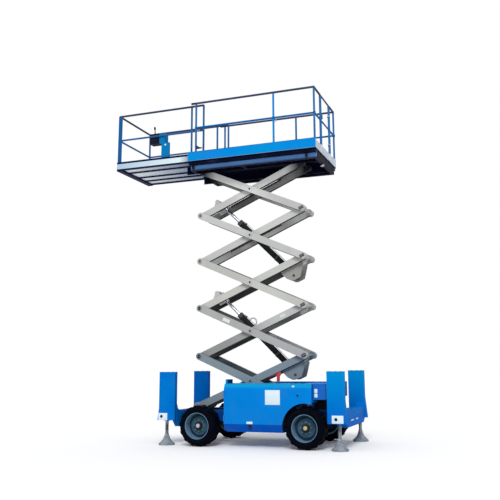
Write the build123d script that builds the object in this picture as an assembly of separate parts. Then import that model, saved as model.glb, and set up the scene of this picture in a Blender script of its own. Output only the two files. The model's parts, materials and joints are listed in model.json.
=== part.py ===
from build123d import *
import math
import os

# Scissor lift for rough ground: five scissor stages, four levelling jacks, a slide-out deck.
# Millimetres. +X is the entry end, -X the steered end, +Z up. The sizes below are drawn from
# the ground on the centreline, midway between the axles. The pieces are written out with their
# origin on the ground at the middle of the whole length.

# Wheels and axles
WHEELBASE = 1850
TRACK = 1420
TYRE_RADIUS = 330
TYRE_WIDTH = 305
LUG_HEIGHT = 14
LUG_WIDTH = 48
LUG_SKEW = 18
LUGS_PER_ROW = 14
LUG_MIDDLE_GAP = 8
TYRE_FACETS = 36
# Radius and distance in from the tyre's side, from its widest ring to the tread's edge
SHOULDER = ((262, 0), (300, 16), (316, 38))
BEAD_SLOPE = 14
RIM_RADIUS = 212
RIM_WALL = 8
HUB_RADIUS = 92
SPINDLE_RADIUS = 40
AXLE_SIZE = 120
KINGPIN_Y = 480
KINGPIN_RADIUS = 22
YOKE_PLATE = 20
KNUCKLE_HALF = 55
KNUCKLE_INWARD = 25
KNUCKLE_OUTWARD = 60
YOKE_GAP = 8
STEER_ARM = 150
STEER_ARM_THICK = 24
TIE_ROD_RADIUS = 16
TIE_PIN_RADIUS = 12
TIE_GAP = 5
SPINDLE_SEAT = 20
SPINDLE_REACH = 90
YOKE_HALF = 65
YOKE_NOSE = 45
RUNNING_GAP = 0.1
SIDE_GAP = 2
SEAT_GAP = 0.3

# Chassis frame
RAIL_OUTER_Y = 370
RAIL_WIDTH = 66
RAIL_TOP = 560
RAIL_DEPTH = 180
RAIL_FRONT_REACH = 465
RAIL_REAR_REACH = 415
CROSS_LENGTH = 80
CROSS_DROP = 60
MID_CROSS_X = -300
REAR_CROSS_SETBACK = 140
NOSE_BOX_LENGTH = 145
NOSE_BOX_HALF = 400
NOSE_BOX_TOP = 558

# Side modules and their doors
MODULE_FRONT_GAP = 469
MODULE_REAR_REACH = 111
MODULE_BOTTOM = 249
MODULE_TOP = 1012
MODULE_Y = 816
MODULE_TUCK = 42
TOP_BEND = 925
BOTTOM_BEND = 376
MODULE_WALL = 20
DOOR_THICK = 24
DOOR_GAP = 5
HINGE_HEIGHTS = (460, 850)
HINGE_RADIUS = 12
HINGE_PIN_RADIUS = 7
HINGE_LENGTH = 30
HINGE_GAP = 2
ARCH_RADIUS = 380
MODULE_TOE = 45
UPSTAND_LENGTH = 96
UPSTAND_Y = (660, 740)
UPSTAND_HEIGHT = 68
ENGINE_X = (-380, 330)
ENGINE_TOP = 880
OIL_TANK_X = (-400, -20)
OIL_TANK_TOP = 860
FUEL_TANK_X = (20, 420)
FUEL_TANK_TOP = 760
TANK_CLEARANCE = 60
TANK_OUTER_Y = 740
ENGINE_OUTER_Y = 720
REAR_BOX_REACH = 325
REAR_BOX_Y = 750
REAR_BOX_BOTTOM = 766

# Levelling jacks
COLUMN_FRONT_REACH = 618
COLUMN_REAR_REACH = 498
LEG_FRONT_SHIFT = -11
LEG_REAR_SHIFT = 43
FRONT_JACK_Y = 688
REAR_JACK_Y = 743
FRONT_COLUMN_WIDTH = 297
REAR_COLUMN_WIDTH = 278
COLUMN_DEPTH = 90
COLUMN_WALL = 8
COLUMN_BOTTOM = 402
COLUMN_TOP = 1197
FRONT_FLARE = 26
FRONT_FLARE_TOP = 600
REAR_FLARE = 38
REAR_FLARE_TOP = 760
LEG_RADIUS = 28
LEG_TOP = 900
FRONT_BEAM_LENGTH = 90
REAR_BEAM_LENGTH = 154
FRONT_BEAM_Z = (290, 560)
REAR_BEAM_Z = (335, 600)
FRONT_HAUNCH = 110
REAR_HAUNCH = 60
BEAM_CHAMFER = 110
PAD_RADIUS = 135
PAD_THICK = 26
BELL_TOP = 180
# Shares of the pad's radius and of the bell's height, from the pad up to the leg
BELL_PROFILE = ((0.76, 0.15), (0.44, 0.48), (0.29, 0.86), (0.25, 1.0))

# Scissor stack
STAGES = 5
ARM_LENGTH = 2107
REST_ANGLE = 23.62
ARM_DEPTH = 120
ARM_WIDTH = 65
INNER_ARM_Y = 160
ARM_GAP = 10
PIN_RADIUS = 25
PIN_HEAD = 38
HEAD_THICK = 8
OPEN_GAP = 0.5
PIVOT_X = 780
PIVOT_Z = 622
PIVOT_LUG_THICK = 26
PIVOT_LUG_RADIUS = 45
ROLLER_WIDTH = 58
ROLLER_GAP = 0.5

# Lift cylinders and their lugs, as distances along and square to an arm from its centre pin
FOOT_ALONG = 735
FOOT_BELOW = 215
EYE_ALONG = 700
EYE_ABOVE = 140
LUG_THICK = 22
LUG_ARM_GAP = 12
EYE_LUG_RADIUS = 42
FOOT_LUG_OUTLINE = (
    (-190, 195), (-186, 116), (-141, 9), (-75, -62), (-32, -75), (90, -74), (150, 0), (239, 120), (232, 195),
)
FOOT_PAD = (-150, 200)
EYE_LUG_BASE = (-130, 70)
EYE_LUG_SHOULDER = 45
BARREL_RADIUS = 52
ROD_RADIUS = 28
EYE_RADIUS = 44
EYE_HALF_WIDTH = 48
FOOT_RADIUS = 56
FOOT_HALF_WIDTH = 60
FOOT_GAP = 8
BARREL_WALL = 9
BARREL_LENGTH = 1500
GLAND_LENGTH = 60
ROD_LENGTH = 1510

# Platform, with heights above the top pins or above the deck
DECK_REAR = 1171
DECK_FRONT = -1231
DECK_HALF_WIDTH = 700
DECK_RISE = 95
DECK_THICK = 20
UNDERFRAME_HALF = 600
UNDERFRAME_DEPTH = 143
UNDERFRAME_WIDTH = 50
EDGE_FRAME = 50
EDGE_INSET = 10
TRACK_WALL = 13
TRACK_REAR = -240
TOE_HEIGHT = 160
TOE_THICK = 6
TUBE_RADIUS = 19
POST_RADIUS = 18
CORNER_BALL = 20
TOP_RAIL_HEIGHT = 1092
MID_RAIL_DROP = 470
MAIN_POSTS = (-1082, 411)
GATE_NEAR_Y = -250
GATE_FAR_Y = 320
GATE_TUBE_RADIUS = 15
GATE_LUG_DROP = 230
GATE_LUG_SPACING = 550
GATE_LUG_RADIUS = 24
GATE_LUG_THICK = 12

# Slide-out deck
EXTENSION_FRONT = -2758
EXTENSION_SIDE = 12
EXTENSION_OVERLAP = 320
EXTENSION_GAP = 0.3
EXTENSION_NOSE = 100
NOSE_DROP = 13
EXTENSION_RUNNER = 24
EXTENSION_DECK_THICK = 10
EXTENSION_RAIL_DROP = 18
EXTENSION_MID_DROP = 482
RUNNER_HALF_WIDTH = 20
MIDDLE_RUNNERS = (-320, 50, 320)
EXTENSION_POST_INSET = 60
CORNER_POST_LENGTH = 80
CORNER_POST_THICK = 8

# Control box on the near side of the slide-out deck
CONTROL_SETBACK = 673
CONTROL_LENGTH = 310
CONTROL_WIDTH = 140
CONTROL_ABOVE = 50
CONTROL_BELOW = 140
PANEL_LENGTH = 160
PANEL_WIDTH = 40
PANEL_HEIGHT = 280
PANEL_OVERLAP = 67


# Shapes shared by the pieces below

def block(x, y, z):
    """A box between two values on each axis."""
    size = [max(pair) - min(pair) for pair in (x, y, z)]
    middle = [(pair[0] + pair[1]) / 2 for pair in (x, y, z)]
    return Pos(*middle) * Box(*size)


def rod_y(radius, y, x, z):
    """A round bar along Y."""
    return Pos(x, (y[0] + y[1]) / 2, z) * Rot(90, 0, 0) * Cylinder(radius, abs(y[1] - y[0]))


def rod_x(radius, x, y, z):
    """A round bar along X."""
    return Pos((x[0] + x[1]) / 2, y, z) * Rot(0, 90, 0) * Cylinder(radius, abs(x[1] - x[0]))


def rod_z(radius, x, y, z):
    """A round bar along Z."""
    return Pos(x, y, (z[0] + z[1]) / 2) * Cylinder(radius, abs(z[1] - z[0]))


def plate_y(outline, y):
    """A plate square to Y, from its outline in X and Z."""
    face = make_face(Polyline(*[(x, 0, z) for x, z in outline], close=True))
    return Pos(0, min(y), 0) * extrude(face, abs(y[1] - y[0]), dir=(0, 1, 0))


def plate_x(outline, x):
    """A plate square to X, from its outline in Y and Z."""
    face = make_face(Polyline(*[(0, y, z) for y, z in outline], close=True))
    return Pos(min(x), 0, 0) * extrude(face, abs(x[1] - x[0]), dir=(1, 0, 0))


def both_sides(shape):
    """The shape and its mirror image across the centreline."""
    return shape + mirror(shape, about=Plane.XZ)


def side_of(shape, side):
    """The shape as drawn for the +Y side, or mirrored to the -Y side."""
    return shape if side > 0 else mirror(shape, about=Plane.XZ)


# Chassis places worked out from the axles

FRONT_AXLE_X = -WHEELBASE / 2
REAR_AXLE_X = WHEELBASE / 2
RAIL_FRONT = FRONT_AXLE_X - RAIL_FRONT_REACH
RAIL_REAR = REAR_AXLE_X + RAIL_REAR_REACH
COLUMN_FRONT_X = FRONT_AXLE_X - COLUMN_FRONT_REACH
COLUMN_REAR_X = REAR_AXLE_X + COLUMN_REAR_REACH
LEG_FRONT_X = COLUMN_FRONT_X + LEG_FRONT_SHIFT
LEG_REAR_X = COLUMN_REAR_X + LEG_REAR_SHIFT
FRONT_BEAM_X = (RAIL_FRONT - FRONT_BEAM_LENGTH, RAIL_FRONT)
REAR_BEAM_END = COLUMN_REAR_X + REAR_COLUMN_WIDTH / 2
REAR_BEAM_X = (REAR_BEAM_END - REAR_BEAM_LENGTH, REAR_BEAM_END)
MODULE_FRONT = FRONT_AXLE_X + MODULE_FRONT_GAP
MODULE_REAR = REAR_AXLE_X + MODULE_REAR_REACH
REAR_BOX_END = REAR_AXLE_X + REAR_BOX_REACH
ORIGIN_X = (EXTENSION_FRONT + max(LEG_REAR_X + PAD_RADIUS, REAR_BEAM_END + REAR_FLARE)) / 2

# Scissor geometry worked out from the driving sizes

HALF_SPAN = ARM_LENGTH / 2 * math.cos(math.radians(REST_ANGLE))
STAGE_RISE = ARM_LENGTH * math.sin(math.radians(REST_ANGLE))
CENTRE_X = PIVOT_X - HALF_SPAN
TOP_PIN_Z = PIVOT_Z + STAGES * STAGE_RISE
INNER_Y = (INNER_ARM_Y, INNER_ARM_Y + ARM_WIDTH)
OUTER_Y = (INNER_Y[1] + ARM_GAP, INNER_Y[1] + ARM_GAP + ARM_WIDTH)
PIN_END_Y = OUTER_Y[1] + HEAD_THICK
ROLLER_Y = (OUTER_Y[1] + 5, OUTER_Y[1] + 5 + ROLLER_WIDTH)
ROLLER_RADIUS = PIVOT_Z - RAIL_TOP - ROLLER_GAP
LUG_Y = (INNER_ARM_Y - LUG_ARM_GAP - LUG_THICK, INNER_ARM_Y - LUG_ARM_GAP)
TRACK_FRONT = PIVOT_X - ARM_LENGTH - ROLLER_RADIUS - SIDE_GAP

# Platform heights worked out from the top pins

DECK_TOP = TOP_PIN_Z + DECK_RISE
TOE_TOP = DECK_TOP + TOE_HEIGHT
TOP_RAIL_Z = DECK_TOP + TOP_RAIL_HEIGHT
MID_RAIL_Z = TOP_RAIL_Z - MID_RAIL_DROP
GATE_LUG_HEIGHTS = (TOP_RAIL_Z - GATE_LUG_DROP - GATE_LUG_SPACING, TOP_RAIL_Z - GATE_LUG_DROP)
EXTENSION_TOP_RAIL_Z = TOP_RAIL_Z - EXTENSION_RAIL_DROP
EXTENSION_MID_RAIL_Z = EXTENSION_TOP_RAIL_Z - EXTENSION_MID_DROP


def stage_centre(stage):
    """Height of a stage's centre pins, stage 1 at the bottom."""
    return PIVOT_Z + (stage - 0.5) * STAGE_RISE


def arm_bar(y):
    """One arm: a bar with round ends, its centre pin at the origin, along X."""
    profile = Plane.XZ * SlotOverall(ARM_LENGTH + ARM_DEPTH, ARM_DEPTH)
    return Pos(0, max(y), 0) * extrude(profile, abs(y[1] - y[0]))


def pin_hole(x, gap):
    """A hole right across the stack for a joint pin."""
    reach = PIN_END_Y + 50
    return rod_y(PIN_RADIUS + gap, (-reach, reach), x, 0)


def joint_pin(x, reach):
    """A joint pin right across the stack, with a head at each end."""
    pin = rod_y(PIN_RADIUS, (-reach, reach), x, 0)
    return pin + both_sides(rod_y(PIN_HEAD, (reach - HEAD_THICK + 1, reach), x, 0))


def rollers(x):
    """The cross pin and the two rollers at an arm end that runs along a track."""
    pin = rod_y(PIN_RADIUS, (-ROLLER_Y[1], ROLLER_Y[1]), x, 0)
    return pin + both_sides(rod_y(ROLLER_RADIUS, ROLLER_Y, x, 0))


def foot_lugs():
    """Plates below an arm pair that hold a cylinder's foot, open in the middle."""
    x, z = FOOT_ALONG, -FOOT_BELOW
    lug = plate_y([(x + along, z + above) for along, above in FOOT_LUG_OUTLINE], LUG_Y)
    pad_z = (5 - ARM_DEPTH / 2, z + FOOT_LUG_OUTLINE[0][1] - 5)
    pad = block((x + FOOT_PAD[0], x + FOOT_PAD[1]), (LUG_Y[1], INNER_ARM_Y + 1), pad_z)
    stub = rod_y(PIN_RADIUS, (FOOT_HALF_WIDTH + FOOT_GAP, LUG_Y[0] + 1), x, z)
    return both_sides(lug + pad + stub)


def eye_lugs():
    """Plates above an arm pair with a shaft across for a cylinder rod's eye."""
    x, z = -EYE_ALONG, EYE_ABOVE
    left, right = x + EYE_LUG_BASE[0], x + EYE_LUG_BASE[1]
    outline = (
        (left, -20), (right, -20), (right, EYE_LUG_SHOULDER), (x + EYE_LUG_RADIUS, z),
        (x - EYE_LUG_RADIUS, z), (left, EYE_LUG_SHOULDER),
    )
    lug = plate_y(outline, LUG_Y) + rod_y(EYE_LUG_RADIUS, LUG_Y, x, z)
    pad = block((left + 10, right - 10), (LUG_Y[1], INNER_ARM_Y + 1), (-18, EYE_LUG_SHOULDER))
    shaft = rod_y(PIN_RADIUS, (-LUG_Y[0] - 1, LUG_Y[0] + 1), x, z)
    return both_sides(lug + pad) + shaft


def placed(shape, stage, rising):
    """An arm pair turned to its rest slope and moved to its stage's centre pins."""
    angle = -REST_ANGLE if rising else REST_ANGLE
    return Pos(CENTRE_X, 0, stage_centre(stage)) * Rot(0, angle, 0) * shape


def inner_arms(stage):
    """The pair that rises toward the entry end. It carries the centre pins."""
    half = ARM_LENGTH / 2
    arms = both_sides(arm_bar(INNER_Y))
    centre = rod_y(PIN_RADIUS, (INNER_Y[0] + 5, PIN_END_Y), 0, 0)
    centre += rod_y(PIN_HEAD, (PIN_END_Y - HEAD_THICK + 1, PIN_END_Y), 0, 0)
    arms += both_sides(centre)
    if stage == 1:
        arms += rollers(-half)
    else:
        arms -= pin_hole(-half, OPEN_GAP)
    if stage == STAGES:
        arms -= pin_hole(half, RUNNING_GAP)
    else:
        arms += joint_pin(half, PIN_END_Y)
    if stage in (1, 3):
        arms += foot_lugs()
    if stage in (3, 5):
        arms += eye_lugs()
    return placed(arms, stage, True)


def outer_arms(stage):
    """The pair that falls toward the entry end, outside the inner pair."""
    half = ARM_LENGTH / 2
    arms = both_sides(arm_bar(OUTER_Y)) - pin_hole(0, RUNNING_GAP) - pin_hole(half, RUNNING_GAP)
    arms += rollers(-half) if stage == STAGES else joint_pin(-half, PIN_END_Y)
    return placed(arms, stage, False)


# Lift cylinders, one from stage 1 to stage 3 and one from stage 3 to stage 5

def arm_point(stage, along, above):
    """A point given along and square to a rising arm, in the part's frame."""
    c, s = math.cos(math.radians(REST_ANGLE)), math.sin(math.radians(REST_ANGLE))
    return (CENTRE_X + along * c - above * s, stage_centre(stage) + along * s + above * c)


def cylinder_line(stage):
    """Foot and eye points of the cylinder that starts on a stage, its length and slope."""
    foot = arm_point(stage, FOOT_ALONG, -FOOT_BELOW)
    eye = arm_point(stage + 2, -EYE_ALONG, EYE_ABOVE)
    length = math.dist(foot, eye)
    slope = math.degrees(math.atan2(eye[1] - foot[1], eye[0] - foot[0]))
    return foot, eye, length, slope


def along_cylinder(shape, stage):
    """Places a shape drawn from the foot along +X onto the cylinder's line."""
    foot, _, _, slope = cylinder_line(stage)
    return Pos(foot[0], 0, foot[1]) * Rot(0, -slope, 0) * shape


def barrel(stage):
    foot = rod_y(FOOT_RADIUS, (-FOOT_HALF_WIDTH, FOOT_HALF_WIDTH), 0, 0)
    gland_x = (BARREL_LENGTH - GLAND_LENGTH, BARREL_LENGTH)
    tube = rod_x(BARREL_RADIUS, (FOOT_RADIUS - 10, BARREL_LENGTH), 0, 0)
    tube += rod_x(BARREL_RADIUS + 5, gland_x, 0, 0)
    bore = rod_x(BARREL_RADIUS - BARREL_WALL, (FOOT_RADIUS + 12, gland_x[0]), 0, 0)
    throat = rod_x(ROD_RADIUS + RUNNING_GAP, (gland_x[0] - 10, gland_x[1] + 10), 0, 0)
    return along_cylinder(foot + tube - bore - throat, stage)


def rod(stage):
    _, _, length, _ = cylinder_line(stage)
    eye = rod_y(EYE_RADIUS, (-EYE_HALF_WIDTH, EYE_HALF_WIDTH), length, 0)
    bar = rod_x(ROD_RADIUS, (length - ROD_LENGTH, length - 20), 0, 0)
    hole = rod_y(PIN_RADIUS + RUNNING_GAP, (-EYE_HALF_WIDTH - 5, EYE_HALF_WIDTH + 5), length, 0)
    return along_cylinder(bar + eye - hole, stage)


# Chassis

def chassis_frame():
    rail_y = (RAIL_OUTER_Y - RAIL_WIDTH, RAIL_OUTER_Y)
    frame = both_sides(block((RAIL_FRONT, RAIL_REAR), rail_y, (RAIL_TOP - RAIL_DEPTH, RAIL_TOP)))
    cross_z = (RAIL_TOP - RAIL_DEPTH, RAIL_TOP - CROSS_DROP)
    for x in (MID_CROSS_X, RAIL_REAR - REAR_CROSS_SETBACK):
        cross_x = (x - CROSS_LENGTH / 2, x + CROSS_LENGTH / 2)
        frame += block(cross_x, (-rail_y[0] - 1, rail_y[0] + 1), cross_z)
    nose_x = (RAIL_FRONT, RAIL_FRONT + NOSE_BOX_LENGTH)
    frame += block(nose_x, (-NOSE_BOX_HALF, NOSE_BOX_HALF), (COLUMN_BOTTOM, NOSE_BOX_TOP))
    lug_y = (ROLLER_Y[0], ROLLER_Y[0] + PIVOT_LUG_THICK)
    radius = PIVOT_LUG_RADIUS
    lug = block((PIVOT_X - radius, PIVOT_X + radius), lug_y, (RAIL_TOP - 1, PIVOT_Z))
    lug += rod_y(radius, lug_y, PIVOT_X, PIVOT_Z)
    return frame + both_sides(lug) + rod_y(PIN_RADIUS, (-lug_y[1] - 6, lug_y[1] + 6), PIVOT_X, PIVOT_Z)


def jack_column(x, width, jack_y, wall, flare, flare_top):
    """A jack column on the +Y side, drawn in from its walls. Its outer edge flares out low down."""
    out = 1 if x > 0 else -1
    inner, outer = x - out * (width / 2 - wall), x + out * (width / 2 - wall)
    bottom, top = COLUMN_BOTTOM + wall, COLUMN_TOP - wall
    outline = ((inner, bottom), (inner, top), (outer, top), (outer, flare_top), (outer + out * flare, bottom))
    return plate_y(outline, (jack_y - COLUMN_DEPTH / 2 + wall, jack_y + COLUMN_DEPTH / 2 - wall))


def jack_beam(x, width, leg_x, jack_y, flare, flare_top, beam_x, beam_z, haunch, rail_end):
    """Cross beam and the two columns that house the jacks at one end."""
    y = jack_y - COLUMN_DEPTH / 2 + 1
    low, top = beam_z
    half = (
        (0, low), (y - BEAM_CHAMFER, low), (y, COLUMN_BOTTOM), (y, top + haunch),
        (y - haunch * 0.3, top + haunch * 0.3), (y - haunch, top), (0, top),
    )
    beam = both_sides(plate_x(half, beam_x))
    if rail_end not in beam_x:
        rail_y = (RAIL_OUTER_Y - RAIL_WIDTH, RAIL_OUTER_Y)
        tie_x = (rail_end, beam_x[0] + 1)
        beam += both_sides(block(tie_x, rail_y, (COLUMN_BOTTOM, RAIL_TOP)))
    column = jack_column(x, width, jack_y, 0, flare, flare_top)
    column -= jack_column(x, width, jack_y, COLUMN_WALL, flare, flare_top)
    floor_z = (COLUMN_BOTTOM - 5, COLUMN_BOTTOM + COLUMN_WALL + 5)
    column -= rod_z(LEG_RADIUS + RUNNING_GAP, leg_x, jack_y, floor_z)
    return beam + both_sides(column)


def jack_leg(x, jack_y, side):
    """Round ram on a bell-shaped foot with a flat pad."""
    leg = rod_z(LEG_RADIUS, x, jack_y, (PAD_THICK, LEG_TOP))
    bell = [(0, 0), (PAD_RADIUS, 0), (PAD_RADIUS, PAD_THICK)]
    bell += [(PAD_RADIUS * r, PAD_THICK + (BELL_TOP - PAD_THICK) * h) for r, h in BELL_PROFILE]
    bell.append((0, BELL_TOP))
    face = make_face(Polyline(*[(r, 0, z) for r, z in bell], close=True))
    return side_of(leg + Pos(x, jack_y, 0) * revolve(face, Axis.Z), side)


def module_outline(grow):
    """Cross-section of a side module in Y and Z, on the +Y side."""
    y = MODULE_Y + grow
    return (
        (RAIL_OUTER_Y, MODULE_BOTTOM), (y - MODULE_TUCK, MODULE_BOTTOM), (y, BOTTOM_BEND),
        (y, TOP_BEND), (y - MODULE_TUCK, MODULE_TOP), (RAIL_OUTER_Y, MODULE_TOP),
    )


def module_solid(grow, x):
    """A module's whole bulk, its toe cut off at the front."""
    toe = (
        (MODULE_FRONT - 10, MODULE_BOTTOM - 10), (MODULE_FRONT + MODULE_TOE, MODULE_BOTTOM - 10),
        (MODULE_FRONT + MODULE_TOE, MODULE_BOTTOM), (MODULE_FRONT, MODULE_BOTTOM + MODULE_TOE),
        (MODULE_FRONT - 10, MODULE_BOTTOM + MODULE_TOE),
    )
    return plate_x(module_outline(grow), x) - plate_y(toe, (RAIL_OUTER_Y - 10, MODULE_Y + 10))


def arch(radius):
    return rod_y(radius, (RAIL_OUTER_Y - 50, MODULE_Y + 50), REAR_AXLE_X, TYRE_RADIUS)


def side_module(side):
    """Hollow housing beside the frame, open toward its door."""
    x = (MODULE_FRONT, MODULE_REAR)
    shell = module_solid(-DOOR_THICK - DOOR_GAP, x) - arch(ARCH_RADIUS)
    below_z = (MODULE_BOTTOM - 10, TYRE_RADIUS)
    shell -= block((REAR_AXLE_X, MODULE_REAR + 10), (RAIL_OUTER_Y, MODULE_Y + 20), below_z)
    w = MODULE_WALL
    room = block((x[0] + w, x[1] - w), (RAIL_OUTER_Y + w, MODULE_Y + 50), (MODULE_BOTTOM + w, MODULE_TOP - w))
    room -= arch(ARCH_RADIUS + w)
    room -= block((REAR_AXLE_X, MODULE_REAR + 10), (RAIL_OUTER_Y, MODULE_Y + 60), below_z)
    shell -= room
    upstand_x = (MODULE_FRONT, MODULE_FRONT + UPSTAND_LENGTH)
    shell += block(upstand_x, UPSTAND_Y, (MODULE_TOP - 1, MODULE_TOP + UPSTAND_HEIGHT))
    for z in HINGE_HEIGHTS:
        span = (z - HINGE_LENGTH / 2, z + HINGE_LENGTH / 2)
        shell += rod_z(HINGE_RADIUS, MODULE_FRONT, MODULE_Y, span)
        shell += block((MODULE_FRONT - HINGE_RADIUS, MODULE_FRONT), (MODULE_Y - 70, MODULE_Y), span)
        pin_z = (z - 1.5 * HINGE_LENGTH, z + 1.5 * HINGE_LENGTH)
        shell += rod_z(HINGE_PIN_RADIUS, MODULE_FRONT, MODULE_Y, pin_z)
    return side_of(shell, side)


def side_door(side):
    """Bent door sheet over a module, hinged at its front edge."""
    x = (MODULE_FRONT, MODULE_REAR)
    door = module_solid(0, x) - module_solid(-DOOR_THICK, (x[0] - 5, x[1] + 5)) - arch(ARCH_RADIUS)
    door -= block((x[0] - 5, x[1] + 5), (0, MODULE_Y - MODULE_TUCK - DOOR_THICK - 1), (0, MODULE_TOP + 10))
    door -= block((REAR_AXLE_X, x[1] + 10), (0, MODULE_Y + 50), (0, TYRE_RADIUS))
    for z in HINGE_HEIGHTS:
        lug = HINGE_LENGTH / 2 + HINGE_GAP
        door -= block((x[0] - 1, x[0] + HINGE_RADIUS + 4), (MODULE_Y - 100, MODULE_Y + 1), (z - lug, z + lug))
        for span in ((z - lug - HINGE_LENGTH, z - lug), (z + lug, z + lug + HINGE_LENGTH)):
            door += rod_z(HINGE_RADIUS, x[0], MODULE_Y, span)
        bore_z = (z - 2 * HINGE_LENGTH, z + 2 * HINGE_LENGTH)
        door -= rod_z(HINGE_PIN_RADIUS + RUNNING_GAP, x[0], MODULE_Y, bore_z)
    return side_of(door, side)


def engine():
    y = (-ENGINE_OUTER_Y, -RAIL_OUTER_Y - TANK_CLEARANCE)
    return block(ENGINE_X, y, (MODULE_BOTTOM + MODULE_WALL, ENGINE_TOP))


def tanks():
    y = (RAIL_OUTER_Y + TANK_CLEARANCE, TANK_OUTER_Y)
    floor = MODULE_BOTTOM + MODULE_WALL
    return block(OIL_TANK_X, y, (floor, OIL_TANK_TOP)) + block(FUEL_TANK_X, y, (floor, FUEL_TANK_TOP))


def rear_box():
    """Cover over the rear wheels with the entry steps behind it."""
    top = MODULE_TOP + 2
    box = block((MODULE_REAR + 10, REAR_BOX_END), (RAIL_OUTER_Y - 40, REAR_BOX_Y), (REAR_BOX_BOTTOM, top))
    leg_x = (MODULE_REAR + 30, REAR_BOX_END - 30)
    leg = block(leg_x, (RAIL_OUTER_Y - 40, RAIL_OUTER_Y), (RAIL_TOP, REAR_BOX_BOTTOM + 1))
    bridge = block((REAR_BOX_END - 30, REAR_BOX_END), (-RAIL_OUTER_Y, RAIL_OUTER_Y), (REAR_BOX_BOTTOM, top))
    return both_sides(box + leg) + bridge


def rear_axle():
    x, z = REAR_AXLE_X, TYRE_RADIUS
    top = RAIL_TOP - RAIL_DEPTH
    reach = TRACK / 2 - TYRE_WIDTH / 2 - 20
    beam = block((x - AXLE_SIZE / 2, x + AXLE_SIZE / 2), (-reach, reach), (top - AXLE_SIZE, top))
    hub = rod_y(HUB_RADIUS, (reach - 60, TRACK / 2 - SPINDLE_SEAT), x, z)
    hub += rod_y(SPINDLE_RADIUS, (TRACK / 2 - SPINDLE_SEAT - 1, TRACK / 2 + SPINDLE_REACH), x, z)
    return beam + both_sides(hub)


def front_axle():
    """Beam with a yoke at each end that holds a kingpin."""
    x, z = FRONT_AXLE_X, TYRE_RADIUS
    top = RAIL_TOP - RAIL_DEPTH
    yoke_y = (RAIL_OUTER_Y + SIDE_GAP, KINGPIN_Y)
    nose = (x - YOKE_NOSE, x + YOKE_NOSE)
    web = KINGPIN_Y - math.hypot(KNUCKLE_HALF, KNUCKLE_INWARD) - YOKE_GAP
    width = (x - YOKE_HALF, x + YOKE_HALF)
    beam = block((x - AXLE_SIZE / 2, x + AXLE_SIZE / 2), (-web, web), (top - AXLE_SIZE, top))
    yoke = block(width, (yoke_y[0], web), (z - YOKE_HALF - YOKE_PLATE, z + YOKE_HALF + YOKE_PLATE))
    for plate_z in ((z + YOKE_HALF, z + YOKE_HALF + YOKE_PLATE), (z - YOKE_HALF - YOKE_PLATE, z - YOKE_HALF)):
        yoke += block(nose, yoke_y, plate_z) + rod_z(YOKE_NOSE, x, KINGPIN_Y, plate_z)
    yoke += rod_z(KINGPIN_RADIUS, x, KINGPIN_Y, (z - YOKE_HALF - YOKE_PLATE, z + YOKE_HALF + YOKE_PLATE))
    return beam + both_sides(yoke)


def knuckle(side):
    """Swivelling stub axle with its steering arm."""
    x, z = FRONT_AXLE_X, TYRE_RADIUS
    half = YOKE_HALF - SIDE_GAP
    body_y = (KINGPIN_Y - KNUCKLE_INWARD, KINGPIN_Y + KNUCKLE_OUTWARD)
    body = block((x - KNUCKLE_HALF, x + KNUCKLE_HALF), body_y, (z - half, z + half))
    body += rod_y(HUB_RADIUS, (KINGPIN_Y + KNUCKLE_OUTWARD - 1, TRACK / 2 - SPINDLE_SEAT), x, z)
    body += rod_y(SPINDLE_RADIUS, (TRACK / 2 - SPINDLE_SEAT - 1, TRACK / 2 + SPINDLE_REACH), x, z)
    arm_z = (z - STEER_ARM_THICK / 2, z + STEER_ARM_THICK / 2)
    body += block((x + KNUCKLE_HALF - 1, x + STEER_ARM + 20), (KINGPIN_Y - 20, KINGPIN_Y + 20), arm_z)
    bore_z = (z - STEER_ARM_THICK, z + STEER_ARM_THICK)
    body -= rod_z(TIE_PIN_RADIUS + RUNNING_GAP, x + STEER_ARM, KINGPIN_Y, bore_z)
    body -= rod_z(KINGPIN_RADIUS + RUNNING_GAP, x, KINGPIN_Y, (z - 2 * YOKE_HALF, z + 2 * YOKE_HALF))
    return side_of(body, side)


def tie_rod():
    """Bar below the steering arms, its pins up through their ends."""
    x = FRONT_AXLE_X + STEER_ARM
    z = TYRE_RADIUS - STEER_ARM_THICK / 2 - TIE_GAP - TIE_ROD_RADIUS
    bar = rod_y(TIE_ROD_RADIUS, (-KINGPIN_Y, KINGPIN_Y), x, z)
    pin = rod_z(TIE_PIN_RADIUS, x, KINGPIN_Y, (z, TYRE_RADIUS + STEER_ARM_THICK / 2 + 6))
    return bar + both_sides(pin)


def wheel_side(x, side):
    """Axle centre height and the wheel's middle, as a placing for parts turned about Y."""
    return Pos(x, side * TRACK / 2, TYRE_RADIUS) * Rot(-90 * side, 0, 0)


def rim(x, side):
    """Rim turned about its own axis, its outer face toward +Z before placing."""
    half = TYRE_WIDTH / 2
    r, w = RIM_RADIUS, RIM_WALL
    outline = (
        (SPINDLE_RADIUS + RUNNING_GAP, -18), (70, -18), (HUB_RADIUS + 30, 10), (r - 60, 20),
        (r - w - 14, -30), (r - w - 14, -half + 10), (r, -half + 10), (r, half - 10), (r - w, half - 10),
        (r - w - 6, -10), (r - 55, 34), (HUB_RADIUS + 25, 24), (70, 40), (SPINDLE_RADIUS + RUNNING_GAP, 40),
    )
    face = make_face(Polyline(*[(rr, 0, zz) for rr, zz in outline], close=True))
    return wheel_side(x, side) * revolve(face, Axis.Z)


def faceted(outline):
    """A ring of flat facets about Z, from its closed outline in radius and height."""
    turn = 2 * math.pi / TYRE_FACETS
    spokes = [
        [(r * math.cos(k * turn), r * math.sin(k * turn), z) for r, z in outline] for k in range(TYRE_FACETS)
    ]
    faces = []
    for here, there in zip(spokes, spokes[1:] + spokes[:1]):
        for n in range(len(outline)):
            faces.append(make_face(Polyline(here[n - 1], here[n], there[n], there[n - 1], close=True)))
    return Solid(Shell(faces))


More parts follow.
